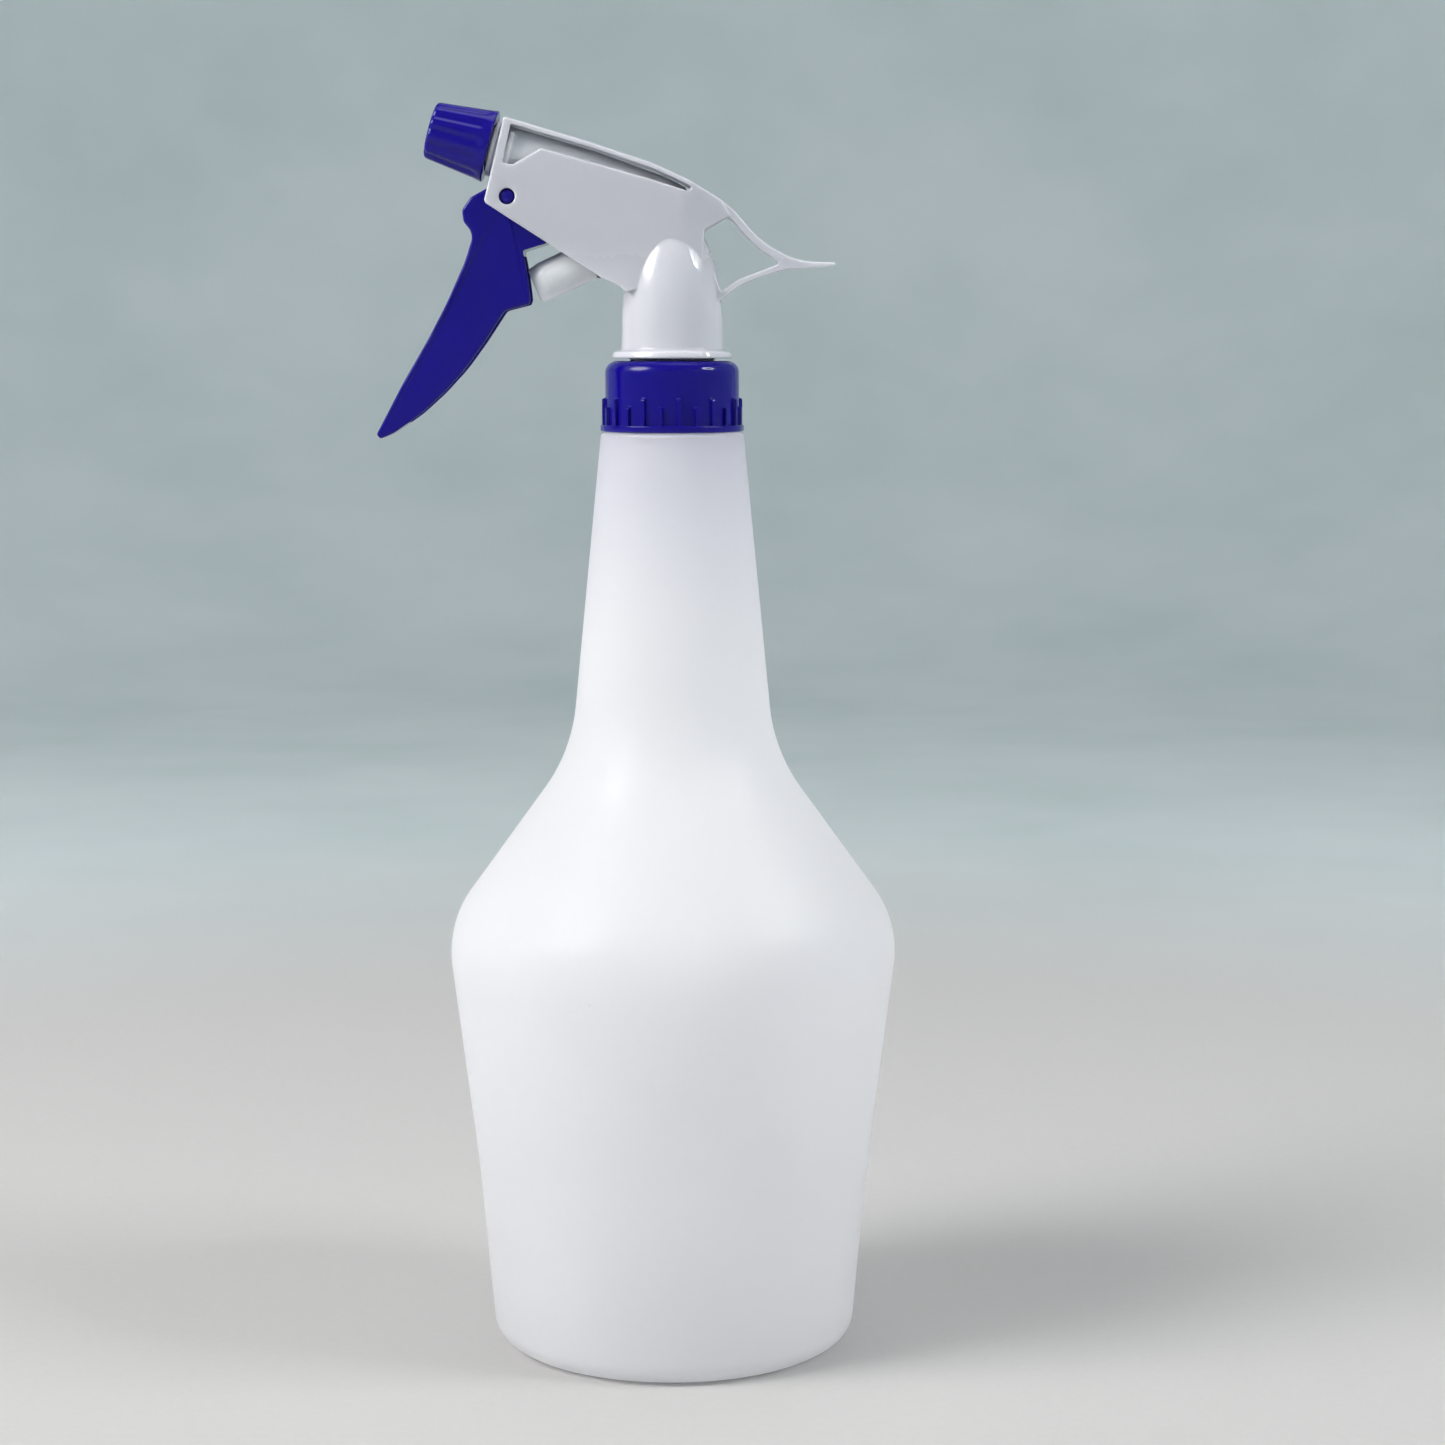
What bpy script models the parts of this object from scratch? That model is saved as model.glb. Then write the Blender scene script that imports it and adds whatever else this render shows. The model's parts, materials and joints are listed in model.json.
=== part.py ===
"""A one-litre trigger spray bottle, modelled in metres with +Z up.

The origin is the centre of the bottle's base. The bottle and collar are turned about Z, and the nozzle points to -X.
Side outlines are written as (x, z) in millimetres in the plane y = 0, and turned profiles as (radius, height).
"""

import math

import bmesh
import bpy
from mathutils import Matrix, Vector

MM = 0.001
ROUND = 36  # facets round a large turned piece
SMALL_ROUND = 20  # facets round a small one
PISTON_ROUND = 24
ARC_TOLERANCE = 0.1  # furthest a chord lies inside its arc, in millimetres
SMOOTH_ANGLE = math.radians(32)

# Bottle, in millimetres
WALL = 1.2
FLOOR = 2.0
MOUTH_Z = 238.6
FINISH_R = 12.6
NECK_TOP = (17.4, 225.75)
NECK_FOOT = (25.03, 147.5)
SHOULDER = (56.2, 104.6)
WAIST = (48.65, 45.0)
BASE_R = 44.65
GROOVE = (12.0, 34.0, 0.8)  # inner radius, outer radius and depth of the ring pressed into the base

# Threads, in millimetres: pitch, centre of the first turn, turns
NECK_THREAD = {"pitch": 4.23, "start": 232.4, "turns": 1.0}
NOZZLE_THREAD = {"pitch": 3.0, "start": 46.6, "turns": 1.13}

# Screw collar, in millimetres
COLLAR_Z = (226.1, 243.2)
COLLAR_R = 16.3
COLLAR_RIM = (17.5, 1.7)  # radius and height of the plain rim at the foot
COLLAR_BORE_R = 14.3
COLLAR_TOP = 1.5
COLLAR_HOLE_R = 10.6
RIB_COUNT = 24
RIB_R = 17.15
RIB_WIDTH = 1.1
RIB_TOPS = (234.4, 232.3)  # long and short ribs alternate
RIB_TURN = math.radians(6.5)  # turn of the first long rib from -Y

# Head, in millimetres
CHEEK_Y = 8.3  # outer face of the cheek plates
CHEEK_INNER_Y = 7.0
ROOF_ROUNDING = 2.0  # along the roof's two long edges
RIM_ROUNDING = 0.4  # along the cheek plates' other edges
NARROWING_X = 4.7  # where the head starts to narrow towards the tail
TAIL_ROOT_X, TAIL_ROOT_Y = 14.0, 4.8
TAIL_TIP_X, TAIL_TIP_Y = 39.5, 1.2
TAIL_STEP = 0.2  # the tail stands back this far from the head's sides
WINDOW_Y = 4.3  # inner side of the window between the roof and each cheek plate
FLANGE_Z = (243.8, 245.8)
FLANGE_R = 14.8
NECK_R = 10.2
BARREL_SLOPE = math.radians(15.5)
BARREL_FOOT = (0.0, 282.35)  # the barrel's axis above the bottle's axis
PUMP_SLOPE = math.radians(24.5)
PUMP_FACE = (-33.2, 261.3)  # centre of the piston's outer face
PIVOT = (-39.36, 282.32)
PIVOT_PIN_R = 1.8
TRIGGER_Y = 6.4
TRIGGER_TIP_Y = 4.6
TRIGGER_SKIRT = 1.3
RISER_R = 5.6


def clear_scene():
    """Removes whatever the startup file holds."""
    for obj in list(bpy.data.objects):
        bpy.data.objects.remove(obj, do_unlink=True)


def plastic(name, color, roughness, alpha=1.0, metallic=0.0):
    """A Principled material of one colour."""
    material = bpy.data.materials.new(name)
    material.use_nodes = True
    shader = material.node_tree.nodes["Principled BSDF"]
    shader.inputs["Base Color"].default_value = (*color, 1.0)
    shader.inputs["Roughness"].default_value = roughness
    shader.inputs["Metallic"].default_value = metallic
    shader.inputs["Alpha"].default_value = alpha
    return material


def axis_empty(name, point, tilt):
    """An empty at (x, z) whose own +Z is tilted from the world's +Z towards +X."""
    empty = bpy.data.objects.new(name, None)
    bpy.context.scene.collection.objects.link(empty)
    empty.location = (point[0] * MM, 0.0, point[1] * MM)
    empty.rotation_euler = (0.0, tilt, 0.0)
    empty.empty_display_size = 0.01
    return empty


def mesh_object(name, bm, material=None, parent=None, origin=(0.0, 0.0)):
    """Turns a bmesh in millimetres into an object whose origin is the (x, z) point given."""
    bmesh.ops.translate(bm, verts=bm.verts, vec=(-origin[0], 0.0, -origin[1]))
    bmesh.ops.scale(bm, verts=bm.verts, vec=(MM, MM, MM))
    bmesh.ops.recalc_face_normals(bm, faces=bm.faces)
    mesh = bpy.data.meshes.new(name)
    bm.to_mesh(mesh)
    bm.free()
    mesh.shade_smooth()
    mesh.set_sharp_from_angle(angle=SMOOTH_ANGLE)
    obj = bpy.data.objects.new(name, mesh)
    bpy.context.scene.collection.objects.link(obj)
    obj.location = (origin[0] * MM, 0.0, origin[1] * MM)
    if parent:
        obj.parent = parent
    if material:
        mesh.materials.append(material)
    else:
        obj.hide_render = True
        obj.display_type = "WIRE"
    return obj


def boolean(target, tool, operation):
    """Adds or cuts a tool, which stays in the scene as a hidden helper."""
    modifier = target.modifiers.new(f"{operation.lower()}_{tool.name}", "BOOLEAN")
    modifier.operation = operation
    modifier.solver = "EXACT"
    modifier.object = tool


def arc_corner(before, corner, after, radius):
    """The points of a round corner of this radius between two straight runs."""
    here = Vector(corner)
    to_before = (Vector(before) - here).normalized()
    to_after = (Vector(after) - here).normalized()
    half = to_before.angle(to_after) / 2
    turn = math.pi - 2 * half
    centre = here + (to_before + to_after).normalized() * (radius / math.sin(half))
    start = here + to_before * (radius / math.tan(half)) - centre
    way = 1 if start.cross(here - centre) > 0 else -1
    steps = math.ceil(turn / (2 * math.acos(1 - ARC_TOLERANCE / radius)))
    rotations = (Matrix.Rotation(way * turn * i / steps, 2) for i in range(steps + 1))
    return [tuple(centre + rotation @ start) for rotation in rotations]


def rounded(points, closed=True):
    """An outline of (a, b) or (a, b, radius) points, with each given radius drawn as an arc."""
    count = len(points)
    outline = []
    for i, point in enumerate(points):
        ends = not closed and i in (0, count - 1)
        if len(point) == 2 or ends:
            outline.append(tuple(point[:2]))
            continue
        before = points[i - 1][:2]
        after = points[(i + 1) % count][:2]
        outline += arc_corner(before, point[:2], after, point[2])
    return outline


def inset(points, distances):
    """The corners of an open outline after each of its runs moves to its right by its own distance."""
    moved = []
    for (a, b), distance in zip(zip(points, points[1:]), distances, strict=True):
        along = (Vector(b[:2]) - Vector(a[:2])).normalized()
        side = Vector((along.y, -along.x)) * distance
        moved.append((Vector(a[:2]) + side, along))
    corners = [tuple(moved[0][0])]
    for (p, u), (q, v) in zip(moved, moved[1:]):
        corners.append(tuple(p + u * ((q - p).cross(v) / u.cross(v))))
    last, along = moved[-1]
    end = Vector(points[-1][:2]) - Vector(points[-2][:2])
    corners.append(tuple(last + along * end.length))
    return corners


def turned(profile, facets=ROUND, turn=0.0):
    """A closed (radius, height) profile spun about Z."""
    bm = bmesh.new()
    start = Matrix.Rotation(turn, 3, "Z")
    verts = [bm.verts.new(start @ Vector((r, 0.0, z))) for r, z in profile]
    edges = [bm.edges.new(pair) for pair in zip(verts, verts[1:])]
    if profile[0][0] > 0 or profile[-1][0] > 0:
        edges.append(bm.edges.new((verts[-1], verts[0])))
    bmesh.ops.spin(bm, geom=verts + edges, axis=(0, 0, 1), cent=(0, 0, 0), angle=math.tau, steps=facets)
    bmesh.ops.remove_doubles(bm, verts=bm.verts, dist=1e-4)
    return bm


def ring(inner, outer, low, high):
    """The square profile of a ring or tube."""
    return [(inner, high), (outer, high), (outer, low), (inner, low)]


def rod(radius, low, high):
    """The profile of a plain round rod on the axis."""
    return [(0.0, high), (radius, high), (radius, low), (0.0, low)]


def extruded(outline, half_width, edge=0.0):
    """An (x, z) outline made into a plate from -half_width to half_width in y, with its rims rounded."""
    bm = bmesh.new()
    face = bm.faces.new([bm.verts.new((x, -half_width, z)) for x, z in outline])
    far = bmesh.ops.extrude_face_region(bm, geom=[face])["geom"]
    far_verts = [item for item in far if isinstance(item, bmesh.types.BMVert)]
    bmesh.ops.translate(bm, verts=far_verts, vec=(0.0, 2 * half_width, 0.0))
    if edge:
        flat = [e for e in bm.edges if abs(e.verts[0].co.y - e.verts[1].co.y) < 1e-6]
        bmesh.ops.bevel(bm, geom=flat, offset=edge, segments=2, profile=0.5, affect="EDGES")
    return bm


def block(low, high):
    """A box between two corners in millimetres."""
    bm = bmesh.new()
    bmesh.ops.create_cube(bm, size=1.0)
    size = Vector(high) - Vector(low)
    bmesh.ops.scale(bm, verts=bm.verts, vec=size)
    bmesh.ops.translate(bm, verts=bm.verts, vec=(Vector(high) + Vector(low)) / 2)
    return bm


def merged(parts):
    """One bmesh that holds several which don't touch each other."""
    whole = bmesh.new()
    for part in parts:
        mesh = bpy.data.meshes.new("part_of_group")
        part.to_mesh(mesh)
        part.free()
        whole.from_mesh(mesh)
        bpy.data.meshes.remove(mesh)
    return whole


def thread(root, crest, half_root, half_crest, pitch, start, turns, turn=0.0):
    """A right-hand thread rib: its foot is sunk into the wall at root, and it runs out to nothing at both ends."""
    bm = bmesh.new()
    steps = round(turns * SMALL_ROUND)
    runout = 3
    sunk = root - math.copysign(0.5, crest - root)
    sections = []
    for i in range(steps + 1):
        grow = min(1.0, i / runout, (steps - i) / runout)
        tip = root + (crest - root) * grow - (root - sunk) * 0.5 * (1 - grow)
        angle = turn + math.tau * turns * i / steps
        z = start + pitch * turns * i / steps
        corners = ((sunk, -half_root), (tip, -half_crest), (tip, half_crest), (sunk, half_root))
        sections.append([bm.verts.new((r * math.cos(angle), r * math.sin(angle), z + dz)) for r, dz in corners])
    for a, b in zip(sections, sections[1:]):
        for i in range(4):
            bm.faces.new((a[i], a[i - 1], b[i - 1], b[i]))
    bm.faces.new(sections[0])
    bm.faces.new(reversed(sections[-1]))
    return bm


def coil(name, radius, wire, low, high, turns, material, parent):
    """A compression spring along its parent's Z, as a bevelled curve."""
    curve = bpy.data.curves.new(name, "CURVE")
    curve.dimensions = "3D"
    curve.bevel_depth = wire * MM
    curve.bevel_resolution = 1
    curve.use_fill_caps = True
    steps = turns * 9
    closed_ends = 1.0  # turns lying flat at each end
    spline = curve.splines.new("POLY")
    spline.points.add(steps)
    for i, point in enumerate(spline.points):
        at = turns * i / steps
        rise = min(max((at - closed_ends) / (turns - 2 * closed_ends), 0.0), 1.0)
        flat = 2.3 * wire * (min(at, closed_ends) + max(at - turns + closed_ends, 0.0))
        z = low + flat + rise * (high - low - 4.6 * wire * closed_ends)
        angle = math.tau * at
        point.co = (radius * math.cos(angle) * MM, radius * math.sin(angle) * MM, z * MM, 1.0)
    obj = bpy.data.objects.new(name, curve)
    bpy.context.scene.collection.objects.link(obj)
    obj.parent = parent
    curve.materials.append(material)
    return obj


def ball(name, radius, at, material, parent):
    """A valve ball."""
    bm = bmesh.new()
    bmesh.ops.create_icosphere(bm, subdivisions=2, radius=radius)
    obj = mesh_object(name, bm, material, parent)
    obj.location = (0.0, 0.0, at * MM)
    return obj


def add_bottle(material):
    """The blow-moulded shell, with its thread and the ring pressed into its base."""
    corners = [
        (FINISH_R, MOUTH_Z),
        (FINISH_R, NECK_TOP[1]),
        (*NECK_TOP, 1.0),
        (*NECK_FOOT, 42.0),
        (*SHOULDER, 26.0),
        (*WAIST, 500.0),
        (BASE_R, 0.0, 6.0),
        (0.0, 0.0),
    ]
    walls = [WALL] * (len(corners) - 2) + [FLOOR]
    inner_corners = inset(corners, walls)
    inner_radii = [None, 0.6, 0.8, 42.0 + WALL, 26.0 - WALL, 500.0, 6.0 - WALL, None]
    inner_corners = [(*c, r) if r else c for c, r in zip(inner_corners, inner_radii, strict=True)]
    groove_in, groove_out, depth = GROOVE
    base = [(groove_out, 0.0), (groove_out - 1, depth), (groove_in + 1, depth), (groove_in, 0.0)]
    outer = rounded(corners, closed=False)
    inner = rounded(inner_corners, closed=False)
    bottle = mesh_object("bottle", turned(outer[:-1] + base + outer[-1:] + inner[::-1]), material)
    rib = thread(FINISH_R, FINISH_R + 1.05, 1.0, 0.5, **NECK_THREAD)
    boolean(bottle, mesh_object("bottle_thread", rib), "UNION")
    return bottle


def collar_ribs():
    """Grip ribs round the collar, long and short in turn, all standing on the rim."""
    ribs = []
    foot = COLLAR_Z[0] + COLLAR_RIM[1] - 0.2
    for i in range(RIB_COUNT):
        rib = block((COLLAR_R - 0.5, -RIB_WIDTH / 2, foot), (RIB_R, RIB_WIDTH / 2, RIB_TOPS[i % 2]))
        top_edge = [e for e in rib.edges if all(v.co.x > COLLAR_R and v.co.z > foot + 1 for v in e.verts)]
        bmesh.ops.bevel(rib, geom=top_edge, offset=0.5, segments=1, affect="EDGES")
        angle = RIB_TURN - math.pi / 2 + math.tau * i / RIB_COUNT
        bmesh.ops.rotate(rib, verts=rib.verts, matrix=Matrix.Rotation(angle, 3, "Z"))
        ribs.append(rib)
    return merged(ribs)


def add_collar(material, parent):
    """The screw collar, turned, with grip ribs outside and a thread inside."""
    low, high = COLLAR_Z
    rim_r, rim_height = COLLAR_RIM
    profile = rounded(
        [
            (COLLAR_HOLE_R, high),
            (COLLAR_R, high, 2.8),
            (COLLAR_R, low + rim_height),
            (rim_r, low + rim_height, 0.3),
            (rim_r, low, 0.5),
            (COLLAR_BORE_R, low),
            (COLLAR_BORE_R, high - COLLAR_TOP),
            (COLLAR_HOLE_R, high - COLLAR_TOP),
        ]
    )
    collar = mesh_object("screw_collar", turned(profile), material, parent)
    boolean(collar, mesh_object("collar_ribs", collar_ribs(), parent=parent), "UNION")
    rib = thread(COLLAR_BORE_R, FINISH_R + 0.4, 1.0, 0.5, turn=math.pi, **NECK_THREAD)
    boolean(collar, mesh_object("collar_thread", rib, parent=parent), "UNION")
    return collar


def head_outline():
    """The side of the cheek plates, roof and rear hump, clockwise from the top of the front plate."""
    return rounded(
        [
            (-39.92, 301.08),
            (-38.0, 300.6),
            (-20.4, 295.4),
            (-4.2, 290.1),
            (4.7, 286.0),
            (11.9, 281.6),
            (14.0, 278.0),
            (8.0, 274.5),
            (9.1, 267.6),
            (9.6, 258.0),
            (-9.6, 257.0),
            (-12.37, 260.99),
            (-16.85, 263.04),
            (-44.9, 281.0, 1.2),
            (-42.67, 289.92),
        ]
    )


def half_width(x):
    """Half the head's width at x: that of the cheek plates, then narrowing to the tail's tip."""
    stations = ((NARROWING_X, CHEEK_Y), (TAIL_ROOT_X, TAIL_ROOT_Y), (TAIL_TIP_X, TAIL_TIP_Y))
    for (x0, y0), (x1, y1) in zip(stations, stations[1:]):
        if x <= x1:
            return y0 + (y1 - y0) * max(0.0, (x - x0) / (x1 - x0))
    return TAIL_TIP_Y


def narrowed(bm, wall=0.0):
    """Brings the sides of an extruded outline in to the head's half width less a wall, behind the narrowing."""
    for x in (NARROWING_X, TAIL_ROOT_X):
        everything = [*bm.verts, *bm.edges, *bm.faces]
        bmesh.ops.bisect_plane(bm, geom=everything, dist=0.01, plane_co=(x, 0.0, 0.0), plane_no=(1.0, 0.0, 0.0))
    for vert in bm.verts:
        side = math.copysign(1.0, vert.co.y)
        vert.co.y = side * min(abs(vert.co.y), half_width(vert.co.x) - wall)
    return bm


def head_block():
    """The head's outer block, whose weighted rims the Bevel modifier rounds: wide along the roof, small elsewhere."""
    bm = narrowed(extruded(head_outline(), CHEEK_Y))
    weight = bm.edges.layers.float.new("bevel_weight_edge")
    for edge in bm.edges:
        run = edge.verts[0].co - edge.verts[1].co
        if edge.verts[0].co.y * edge.verts[1].co.y < 0 or abs(edge.calc_face_angle()) < SMOOTH_ANGLE:
            continue
        on_roof = abs(run.x) > abs(run.z) and min(v.co.z for v in edge.verts) > PIVOT[1] - 1
        edge[weight] = 1.0 if on_roof else RIM_ROUNDING / ROOF_ROUNDING
    return bm


def round_rims(obj):
    """Rounds a block's weighted edges."""
    bevel = obj.modifiers.new("rims", "BEVEL")
    bevel.width = ROOF_ROUNDING * MM
    bevel.segments = 3
    bevel.limit_method = "WEIGHT"


def interior_outline():
    """The space between the cheek plates, open below and in front of the pivot."""
    return [
        (-38.5, 299.6),
        (-20.4, 294.4),
        (-4.2, 288.9),
        (4.0, 285.1),
        (8.4, 282.2),
        (8.6, 278.5),
        (6.7, 273.0),
        (7.9, 267.0),
        (9.0, 261.5),
        (-14.0, 261.5),
        (-50.0, 272.0),
        (-52.0, 285.0),
        (-42.6, 286.0),
    ]


def window_outline():
    """The gap on each side between the roof and a cheek plate's sloping top edge."""
    return rounded(
        [
            (-38.3, 299.2),
            (-20.4, 293.9),
            (-4.2, 288.5),
            (4.4, 284.35, 0.4),
            (-30.94, 293.72, 0.8),
            (-38.0, 289.75, 0.8),
            (-40.35, 290.3),
        ]
    )


def tail_outlines():
    """The tail's outer outline and the hole in it: two straps from the hump and the dome that join in a spike."""
    outer = [
        (4.7, 286.0),
        (11.64, 282.06),
        (15.76, 278.48),
        (18.9, 274.65),
        (22.9, 271.0),
        (28.6, 268.0),
        (33.6, 267.0),
        (39.5, 266.9),
        (39.5, 266.1),
        (32.2, 265.4),
        (27.0, 265.2),
        (21.0, 263.3),
        (15.85, 261.1),
        (10.4, 256.6),
        (8.2, 262.0),
        (6.9, 275.0),
    ]
    hole = [
        (10.2, 275.9),
        (12.1, 277.4),
        (14.6, 276.9),
        (17.0, 274.0),
        (21.8, 269.6),
        (26.2, 266.6),
        (21.8, 264.9),
        (15.8, 262.7),
        (11.9, 259.7),
        (10.9, 262.5),
        (8.7, 268.5),
        (7.5, 273.5),
    ]
    return outer, hole


def tail():
    """The looped tail, which goes on narrowing behind the head."""
    outer, hole = tail_outlines()
    body = mesh_object("tail_body", narrowed(extruded(outer, CHEEK_Y), TAIL_STEP))
    boolean(body, mesh_object("tail_hole", extruded(hole, 2 * CHEEK_Y)), "DIFFERENCE")
    return body


def dome_profile():
    """The glossy dome with the flange under it and the neck that stands in the collar."""
    low, high = FLANGE_Z
    return rounded(
        [
            (0.0, 279.0),
            (3.4, 278.4),
            (6.2, 275.9),
            (8.3, 272.3),
            (9.6, 268.4),
            (11.0, 263.8),
            (11.8, 258.0),
            (12.4, high, 0.6),
            (14.2, high - 0.4, 0.3),
            (FLANGE_R, low, 0.3),
            (NECK_R, low),
            (NECK_R, COLLAR_Z[1] - COLLAR_TOP),
            (0.0, COLLAR_Z[1] - COLLAR_TOP),
        ],
        closed=False,
    )


def dome_space():
    """The hollow inside the dome and its neck, open at the bottom."""
    return [
        (0.0, 276.0),
        (5.0, 275.0),
        (7.0, 271.8),
        (8.2, 268.0),
        (9.6, 263.6),
        (10.4, 258.0),
        (10.9, 249.0),
        (8.7, 246.0),
        (8.7, 230.0),
        (0.0, 230.0),
    ]


def add_housing(material, parent, barrel_axis):
    """The white head: cheek plates, roof, dome, flange and tail as one hollow moulding."""
    housing = mesh_object("housing", head_block(), material, parent)
    round_rims(housing)
    boolean(housing, mesh_object("dome_body", turned(dome_profile())), "UNION")
    boolean(housing, tail(), "UNION")
    tools = [
        mesh_object("cheek_space", narrowed(extruded(interior_outline(), CHEEK_INNER_Y), CHEEK_Y - CHEEK_INNER_Y)),
        mesh_object("dome_space", turned(dome_space())),
        mesh_object("barrel_slot", merged([turned(rod(6.4, 40.0, 46.0), SMALL_ROUND)]), parent=barrel_axis),
        mesh_object("barrel_entry", block((-12.0, -6.4, 41.0), (0.0, 6.4, 46.0)), parent=barrel_axis),
    ]
    depth = 3.0
    for side in (-1, 1):
        window = extruded(window_outline(), depth)
        bmesh.ops.translate(window, verts=window.verts, vec=(0.0, side * (WINDOW_Y + depth), 0.0))
        tools.append(mesh_object(f"window_{'left' if side < 0 else 'right'}", window))
    bore = turned(rod(PIVOT_PIN_R + 0.1, -12.0, 12.0), SMALL_ROUND)
    bmesh.ops.rotate(bore, verts=bore.verts, matrix=Matrix.Rotation(math.pi / 2, 3, "X"))
    pivot_bore = mesh_object("pivot_bore", bore)
    pivot_bore.location = (PIVOT[0] * MM, 0.0, PIVOT[1] * MM)
    for tool in [*tools, pivot_bore]:
        boolean(housing, tool, "DIFFERENCE")
    return housing


def barrel_profile():
    """The barrel's outside along its own axis: rear end, tapered run, neck flange, threaded nose."""
    return [
        (0.0, 56.0),
        (4.5, 56.0),
        (4.5, 51.0),
        (4.9, 51.0),
        (4.9, 45.0),
        (7.0, 45.0),
        (7.0, 43.8),
        (6.05, 43.8),
        (5.7, 21.0),
        (4.4, 3.0),
        (3.2, -3.0),
        (0.0, -3.0),
    ]


def valve_base_profile():
    """The base flange that traps the collar, with the plug above it and the riser."""
    return [
        (0.0, 281.0),
        (RISER_R - 1.2, 281.0),
        (RISER_R, 262.0),
        (RISER_R, 245.0),
        (8.4, 245.0),
        (8.4, 241.4),
        (12.2, 241.4),
        (12.2, 240.1),
        (0.0, 240.1),
    ]


def add_valve_body(material, parent, barrel_axis, pump_axis):
    """The translucent moulding with every bore of the pump in it."""
    body = mesh_object("valve_body", turned(valve_base_profile(), SMALL_ROUND), material, parent)
    added = {
        "barrel": (turned(barrel_profile(), SMALL_ROUND), barrel_axis),
        "barrel_ears": (block((-4.5, -6.7, 39.9), (4.5, 6.7, 41.2)), barrel_axis),
        "barrel_thread": (thread(4.9, 5.5, 0.7, 0.35, **NOZZLE_THREAD), barrel_axis),
        "pump_cylinder": (turned(rod(6.1, 17.0, 33.5), SMALL_ROUND), pump_axis),
    }
    riser_bores = [(0.0, 281.4), (1.8, 281.4), (1.8, 251.6), (2.8, 251.6), (2.8, 250.0), (4.5, 250.0)]
    barrel_bores = [(0.0, 57.0), (3.2, 57.0), (3.2, 14.0), (1.6, 14.0), (1.6, -1.0), (0.0, -1.0)]
    pump_bores = [(0.0, 37.0), (0.9, 37.0), (0.9, 32.0), (5.0, 32.0), (5.0, 16.0), (0.0, 16.0)]
    cut = {
        "riser_bores": (turned([*riser_bores, (4.5, 239.0), (0.0, 239.0)], SMALL_ROUND), None),
        "ball_slots": (block((-2.5, -0.5, 251.0), (2.5, 0.5, 253.5)), None),
        "vent": (turned(rod(0.7, 238.0, 247.0), 8), None),
        "barrel_bores": (turned(barrel_bores, SMALL_ROUND), barrel_axis),
        "pump_bores": (turned(pump_bores, SMALL_ROUND), pump_axis),
    }
    for tools, operation in ((added, "UNION"), (cut, "DIFFERENCE")):
        for name, (bm, axis) in tools.items():
            tool = mesh_object(name, bm, parent=axis)
            if name == "vent":
                tool.location.x = 7.0 * MM
            boolean(body, tool, operation)
    return body


def trigger_outline():
    """The lever's side: knuckle, finger curve, tip, back edge, claw and the hub round the pivot."""
    return rounded(
        [
            (-44.05, 284.44, 1.0),
            (-48.2, 282.2, 1.5),
            (-50.3, 279.2, 1.5),
            (-49.95, 276.4, 1.5),
            (-47.6, 273.4, 3.0),
            (-49.66, 266.99),
            (-54.13, 257.15),
            (-58.5, 248.96),
            (-65.15, 237.71),
            (-71.7, 225.4, 0.5),
            (-70.7, 224.4, 0.5),
            (-67.47, 225.8),
            (-60.88, 230.34),
            (-55.17, 235.55),
            (-49.92, 241.24),
            (-45.49, 247.27),
            (-40.22, 255.22, 1.0),
            (-34.4, 256.7, 0.5),
            (-33.98, 257.9, 0.4),
            (-34.71, 264.16),
            (-35.76, 269.53),
            (-30.13, 271.23),
            (-28.5, 273.2, 1.0),
            (-35.4, 285.2, 2.0),
            (-40.5, 286.0, 2.0),
        ]
    )


def trigger_space():
    """The channel inside the lever, open at the back."""
    return [
        (-43.0, 270.0),
        (-46.0, 269.8),
        (-48.1, 265.6),
        (-52.5, 256.0),
        (-56.7, 248.2),
        (-63.0, 237.5),
        (-66.5, 230.5),
        (-60.0, 225.0),
        (-40.0, 235.0),
        (-25.0, 250.0),
        (-25.0, 266.4),
        (-38.0, 268.6),
    ]


def push_rib():
    """The rounded nose inside the lever that bears on the piston's face."""
    axis = Vector((math.cos(PUMP_SLOPE), math.sin(PUMP_SLOPE)))
    side = Vector((-axis.y, axis.x))
    radius = 2.0
    centre = Vector(PUMP_FACE) - axis * (radius + 0.3)
    nose = [centre + (axis * math.cos(a) + side * math.sin(a)) * radius for a in map(math.radians, range(-90, 91, 15))]
    back = Vector((-53.3, 256.5)), Vector((-50.0, 264.0))
    return [*nose, back[1], back[0]]


def taper_trigger(bm):
    """Narrows the lever evenly from its knuckle to its tip."""
    top, tip = 262.0, 224.0
    for vert in bm.verts:
        share = min(max((top - vert.co.z) / (top - tip), 0.0), 1.0)
        vert.co.y *= 1 + (TRIGGER_TIP_Y / TRIGGER_Y - 1) * share


def add_trigger(material, parent):
    """The lever with its channel, push rib and two pivot pins."""
    shell = extruded(trigger_outline(), TRIGGER_Y, edge=0.5)
    taper_trigger(shell)
    trigger = mesh_object("trigger", shell, material, origin=PIVOT)
    space = extruded(trigger_space(), TRIGGER_Y - TRIGGER_SKIRT)
    taper_trigger(space)
    boolean(trigger, mesh_object("trigger_space", space), "DIFFERENCE")
    boolean(trigger, mesh_object("push_rib", extruded(push_rib(), 1.6)), "UNION")
    pins = turned(rod(PIVOT_PIN_R, -7.9, 7.9), SMALL_ROUND)
    bmesh.ops.rotate(pins, verts=pins.verts, matrix=Matrix.Rotation(math.pi / 2, 3, "X"))
    boolean(trigger, mesh_object("pivot_pins", pins, parent=trigger), "UNION")
    trigger.parent = parent
    return trigger


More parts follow.
